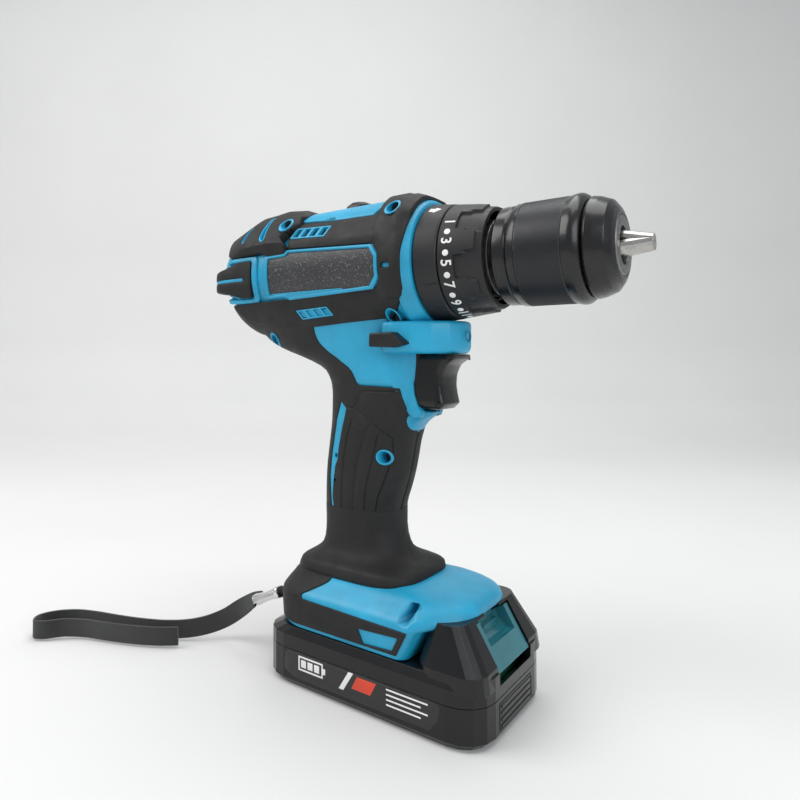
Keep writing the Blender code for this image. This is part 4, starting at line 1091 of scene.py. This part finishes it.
def base_skin(u, v):
    """Points round the base: u runs from its front middle along the right side to its rear middle."""
    front, rear, half, nose, heel = base_level(v)
    starts = np.cumsum((0,) + BASE_SPANS)
    share = [np.clip((u - starts[k]) / BASE_SPANS[k], 0, 1) for k in range(5)]
    ahead, behind = share[1] * math.pi / 2, share[3] * math.pi / 2
    x = (front - nose * (1 - np.cos(ahead)) - (front - rear - nose - heel) * share[2]
         - heel * np.sin(behind))
    y = ((nose - half) * share[0] - nose * np.sin(ahead) + heel * (1 - np.cos(behind))
         + (half - heel) * share[4])
    return np.stack([x, y, v], axis=1)


def on_base(u, v, h):
    return stood_off(base_skin, u, v, h)


def base_uv(outline):
    """(x, z) points of the side view as (u, z) on the base's right side."""
    out = []
    for x, z, *radius in outline:
        front, rear, _, nose, heel = base_level(z)
        share = (front - nose - x) / (front - rear - nose - heel)
        out.append((sum(BASE_SPANS[:2]) + BASE_SPANS[2] * float(share), z, *radius))
    return out


def make_base():
    us = np.linspace(0.01, sum(BASE_SPANS) - 0.01, 100)
    rings = []
    for z in BASE_LEVELS[:, 0]:
        right = base_skin(us, np.full(len(us), z))
        rings.append([*right, *(right[::-1] * (1, -1, 1))])
    base = loft("base_shell", rings, TEAL, sharp=32)
    slot = rounded([(19.4, 42.8), (24.4, 42.8), (27.2, 50.4), (22.4, 50.4)], 2.3)
    cutter = panel("slot_cutter", on_side, slot, 20, 45, SHADE_BLACK, edge=0.1)
    with opened(cutter.data) as bm:
        bmesh.ops.holes_fill(bm, edges=bm.edges, sides=0)
        bmesh.ops.recalc_face_normals(bm, faces=bm.faces)
    cut_with(base, mirrored(cutter, "slot_cutter_left"))
    cut_with(base, cutter)

    rear = sum(BASE_SPANS) - 0.15
    wrap = base_uv([(20.4, 29.6), (26.4, 40.2), (-12.4, 41.4), (-31.6, 41.9), (-32.6, 43.6), (-21.5, 50),
                    (-21.5, 52.6)])
    outline = wrap + [(rear, 52.6, 0), (rear, 29.4, 0)]
    window = base_uv([(0.2, 36.2), (20.6, 37.3), (17.6, 31.2), (3, 30.4)])
    right, left = both("base_wrap", on_base, rounded(outline, 0.9), -1, wrap_height, RUBBER, edge=0.5,
                       holes=[rounded(window, 0.5)], step=2.2,
                       grooves=[(base_uv([(-38.5, 41.5), (-34.4, 41.9)]), 0.5, 0.3)])
    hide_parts("base_band_right")
    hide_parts("base_band_left")

    # The flare at the handle's foot: height, front x, rear x, half width, squareness.
    levels = [(82, 1.2, -39.4, 16.7, 2.5), (74, 1.1, -39.2, 16.6, 2.5), (69, 1.8, -39.4, 16.7, 2.5),
              (65.5, 2.9, -39.9, 17, 2.5), (62.5, 4.6, -40.9, 17.7, 2.5), (60.4, 7.4, -42.3, 19, 2.7),
              (58.8, 11.2, -44.2, 21.3, 3), (57.5, 14.6, -46, 23.7, 3.4), (56.6, 16.3, -47.2, 25, 3.8),
              (55.8, 17, -47.9, 25.5, 4), (53.8, 17.4, -48.8, 26, 4), (52, 17.3, -49.4, 26.2, 4),
              (51.2, 16.7, -49.2, 25.7, 4)]
    loft("grip_flange", [oval(*level[:4], 2 / level[4], 96) for level in levels], RUBBER, sharp=50)


def wrap_height(u, v):
    return 0.75 + 0.5 * np.clip((u - 112) / 20, 0, 1)


make_body()
make_bumper()
make_grip()
make_trigger()
make_nose()
make_base()


# ---------------------------------------------------------------- collar and chuck


def collar_radius(x):
    """The outside of the two rings ahead of the housing."""
    return np.interp(x, [23.1, 23.9, 33.4, 34, 34.4, 35, 52, 52.9],
                     [26.4, 27.3, 26, 25.6, 25.4, 25.7, 23.5, 23])


def on_collar(u, v, h):
    """x along the drive line, degrees from the top towards the right, height off the rings."""
    return np.stack(polar(u, collar_radius(u) + h, np.radians(v)), axis=1)


FIRST_SCALLOP = 52.0
SCALLOPS = 7
SCALLOP_DEPTH = 1.15
DIAL_START = 55.6
DIAL_STEP = 21.6
DIAL_X = 38.25


def scallop(x, turn):
    """How far the finger recesses and the front lip of the torque ring lie below its round."""
    period = 360.0 / SCALLOPS
    off = abs((math.degrees(turn) - FIRST_SCALLOP + period / 2) % period - period / 2)
    half = float(np.interp(x, [41.2, 45.5, 46.5, 53], [11.8, 12.2, 15.5, 16.6]))
    reach = min(1, max(0, (half - off) / 0.9))
    dip = SCALLOP_DEPTH * reach * min(1, max(0, (x - 41.3) / 0.35))
    lip = 1.0 * min(1, max(0, (x - 50.2) / 0.3))
    return max(dip, lip) if x > 41.0 else 0.0


def dial_figure(text, turn):
    """A white figure wrapped on the torque ring, its top towards the chuck."""
    curve = bpy.data.curves.new("dial_figure", "FONT")
    curve.body = text
    curve.size = 6.3
    curve.align_x = "CENTER"
    curve.align_y = "CENTER"
    curve.offset = 0.12
    curve.resolution_u = 3
    holder = in_scene("dial_text", curve)
    mesh = baked(holder)
    bpy.data.objects.remove(holder, do_unlink=True)
    with opened(mesh) as bm:
        bmesh.ops.subdivide_edges(bm, edges=bm.edges[:], cuts=1)
        bmesh.ops.triangulate(bm, faces=bm.faces[:])
    points = []
    for vert in mesh.vertices:
        x = DIAL_X + vert.co.y
        points.append(polar(x, collar_radius(x) + 0.06, turn + vert.co.x / collar_radius(DIAL_X)))
    faces = [tuple(face.vertices) for face in mesh.polygons]
    make_object("dial_" + text, points, faces, WHITE, "torque_ring")


def make_collar():
    def mark(x, turn):
        off = abs(math.degrees(turn) - 117.5)
        return 0.35 if off < 0.6 and 27.2 < x < 33.6 else 0.0
    mode = [(23.1, 22), (23.1, 26.4), (23.9, 27.3), (33.3, 26.05), (33.9, 25.5), (33.9, 22)]
    ring = turned("mode_collar", resampled(rounded(mode, 0.25), 1.2), COLLAR, "mode_ring", 300, mark)
    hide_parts("mode_ring")

    outside = [(x, float(collar_radius(x))) for x in
               (34.4, 35, 38, 41.3, 41.65, 43, 45.5, 46.5, 48.5, 50.2, 50.5, 52, 52.9)]
    ring = turned("torque_collar", [(34.4, 22.2)] + outside + [(52.9, 21.4)], COLLAR, "torque_ring", 560,
                  scallop, sharp=30)
    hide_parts("torque_ring")
    for step, number in enumerate(range(1, 18, 2)):
        dial_figure(str(number), math.radians(DIAL_START + DIAL_STEP * step))
        middle = DIAL_START + DIAL_STEP * (step + 0.55)
        dot = [(x, middle + math.degrees(y / 25.2)) for x, y in circle(38.3, 0, 1.35)]
        panel("dial_dot_%d" % step, on_collar, dot, -0.2, 0.07, WHITE, edge=0.02, body="torque_ring", step=4)
    arrow = [(26, 33), (28.4, 33), (28.4, 30.6), (31.3, 33.9), (28.4, 41.6), (28.4, 39.4), (26, 39.4)]
    panel("mode_pointer", on_collar, arrow, -0.2, 0.07, WHITE, edge=0.02, body="mode_ring", step=1.5)


KNURL_COUNT = 118
KNURL_PITCH = 1.16
KNURL_SPAN = (66.2, 84.2)
DIAMOND_DEPTH = 0.26


def knurl(x, turn):
    """A fine diamond knurl between the sleeve's two smooth bands."""
    if not KNURL_SPAN[0] <= x <= KNURL_SPAN[1]:
        return 0.0
    across = KNURL_COUNT * turn / (2 * math.pi)
    along = x / KNURL_PITCH
    lines = (across + along, across - along)
    return DIAMOND_DEPTH * max(max(0, 1 - 3.4 * abs(line - round(line))) for line in lines)


def make_chuck():
    grip = [(66, 19), (66, 21.7)] + [(66.2 + 0.29 * k, 21.9) for k in range(63)] + [(84.4, 21.7), (84.4, 19)]
    turned("sleeve_knurl", grip, KNURL, "sleeve", KNURL_COUNT * 4, knurl, sharp=80)
    outside = [(62.5, 21.2), (63.2, 21.8), (65.9, 21.95), (66.1, 21.5), (66.2, 20.5), (84.2, 20.5),
               (84.3, 21.6), (84.6, 21.95), (85.6, 22.1), (86.6, 22.35), (87.8, 22.45), (88.9, 22.2),
               (90.2, 21.3), (91, 20.4), (91.3, 19.6)]
    sleeve = turned("smooth_sleeve", [(62.5, 17)] + outside + [(91.3, 17)], SLEEVE, "sleeve", 160)
    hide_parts("chuck_sleeve")
    cap = rounded([(91.2, 18.5, 0), (91.7, 18.6, 0.1), (91.8, 20, 0.35), (92.8, 20.5, 0.5), (95.4, 19.9, 1),
                   (99.3, 18.2, 0.8), (101.3, 15.4, 0.5), (102.1, 13.2, 0.3), (102, 12.1, 0.2), (98, 12, 0)],
                  0.3)
    nose = turned("chuck_nose", cap, SLEEVE, "chuck", 160)
    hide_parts("chuck_nose_cap")
    face = rounded([(98.5, 11.9), (102, 11.9), (102.4, 11.4), (102.7, 8.4), (102.3, 7.6), (98.5, 7.2)], 0.25)
    bore = turned("chuck_face_ring", face, GREY_STEEL, "chuck")
    # The chuck bore is a near-black tube of painted shade.
    turned("chuck_bore", [(90, 6.5), (97.5, 6.5), (98.6, 11.8), (90, 11.8)], SHADE_BLACK, "chuck", 60)
    flange = rounded([(56.2, 8, 0), (56.2, 20.6, 0.5), (57, 21.2, 0.4), (61.2, 21.2, 0.4), (62.2, 20.6, 0.3),
                      (62.2, 16.8, 0), (59.2, 16.6, 0), (59.2, 8, 0)], 0.3)
    core = turned("chuck_flange", flange, SLEEVE, "chuck")
    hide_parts("chuck_core")


# ---------------------------------------------------------------- battery


PACK_SIDE = 36.2
LABEL_CORNERS = [(-41.4, 15), (-39.6, 16.4), (39.2, 16.4), (40.6, 14.8), (39.8, 10.4), (36, 5.2), (-35, 4.7),
                 (-41.6, 7.4)]


def on_flank(u, v, h):
    """The battery's flat side: x, z and height off it."""
    return np.stack([u, -(PACK_SIDE + h), v], axis=1)


def on_pack_front(u, v, h):
    """The battery's front wall: y, z and height off it."""
    return np.stack([57.5 + h, u, v], axis=1)


def rectangle(left, right, low, high):
    return [(left, low), (right, low), (right, high), (left, high)]


def make_pack():
    for side in both("pack_label", on_flank, rounded(LABEL_CORNERS, 1.2), -0.3, 0.12, LABEL, edge=0.1):
        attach(side, "battery")
    marks = [("case", [(-33, 9), (-33, 15.6), (-18.5, 15.6), (-18.5, 13.6), (-17.1, 13.6), (-17.1, 11),
                       (-18.5, 11), (-18.5, 9)], [rectangle(-32.2, -19.3, 9.8, 14.8)]),
             ("slash", [(-9.5, 7.8), (-6.9, 7.8), (-1.6, 16.4), (-4.2, 16.4)], []),
             ("accent", [(-2.6, 9.8), (7.4, 9.8), (10.4, 15.6), (0.4, 15.6)], [])]
    for k in range(3):
        start = -31.4 + 3.9 * k
        marks.append(("bar_%d" % k, rectangle(start, start + 3, 10.6, 14), []))
    for k in range(4):
        top = 15.4 - 2.1 * k
        marks.append(("line_%d" % k, rectangle(15.4, 35.2 - 3.2 * (k % 2), top - 0.7, top), []))
    for name, outline, holes in marks:
        finish = ACCENT if name == "accent" else WHITE
        pair = both("cell_mark_" + name, on_flank, outline, 0, 0.17, finish, edge=0.03, holes=holes, step=6)
        for side in pair:
            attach(side, "battery")
    front = rounded(rectangle(-17.5, 17.5, 3.6, 15), 1.4)
    for k in range(4):
        low = 4.6 + 2.6 * k
        bar = rounded(rectangle(-15.6, 15.6, low, low + 1.5), 0.6)
        panel("pack_front_rib_%d" % k, on_pack_front, bar, -0.6, 0.35, GLOSS, edge=0.3, body="battery",
              step=3)
    panel("pack_front_frame", on_pack_front, front, -0.6, 0.25, GLOSS, edge=0.2,
          holes=[inset(anticlockwise(front), 0.9)], body="battery", step=3)


make_collar()
make_chuck()
make_pack()


# ---------------------------------------------------------------- stage


def make_stage():
    """A pale paper sweep under soft studio lights."""
    profile = [(-0.9, 0), (0.75, 0), (0.9, 0.02), (1.02, 0.08), (1.1, 0.2), (1.13, 0.4), (1.13, 2.4)]
    turn = math.radians(CAMERA_TURN)
    ahead = Vector((-math.sin(turn), math.cos(turn), 0))
    side = Vector((math.cos(turn), math.sin(turn), 0))
    points = [ahead * along + side * share + Vector((0, 0, up - 0.0001))
              for along, up in profile for share in (-2.6, 2.6)]
    mesh = bpy.data.meshes.new("paper_sweep")
    mesh.from_pydata(points, [], [(k, k + 1, k + 3, k + 2) for k in range(0, len(points) - 2, 2)])
    mesh.shade_smooth()
    mesh.materials.append(paper("backdrop_paper", (0.72, 0.72, 0.71)))
    sweep = in_scene("paper_sweep", mesh)
    bpy.context.scene.view_settings.view_transform = "Standard"
    world = bpy.context.scene.world or bpy.data.worlds.new("world")
    bpy.context.scene.world = world
    world.use_nodes = True
    sky = world.node_tree.nodes["Background"]
    sky.inputs["Color"].default_value = (0.93, 0.96, 1, 1)
    sky.inputs["Strength"].default_value = 0.5
    area_light("key", (-0.75, -0.75, 1.15), (0, 0, 0.12), 0.9, 0.9, 11.5, (1, 0.99, 0.97))
    area_light("top", (0.1, 0.15, 1.3), (0, 0, 0.1), 1.2, 0.8, 9)
    area_light("fill", (1.1, -0.5, 0.7), (0, 0, 0.15), 0.9, 0.7, 6, (0.97, 0.98, 1))


make_stage()

finishes = {"housing": TEAL, "overmould": RUBBER, "plate": PLATE, "screw": SCREW_STEEL, "lens": LENS,
            "motor": CAST, "winding": COPPER, "gear": GREY_STEEL, "spring": GREY_STEEL, "collar": COLLAR,
            "chuck_sleeve": SLEEVE, "jaw_steel": STEEL, "trigger": BLACK, "pack": GLOSS, "button": CLEAR_TEAL,
            "cell": CELL, "board": BOARD, "strap": WEBBING, "crimp": CRIMP}
for part in frame["record"]["subparts"]:
    node = frame["nodes"][part["node"]]
    for spot in range(max(1, len(node.material_slots))):
        if not node.material_slots:
            node.data.materials.append(finishes[part["material_slot"]])
        else:
            node.material_slots[spot].material = finishes[part["material_slot"]]
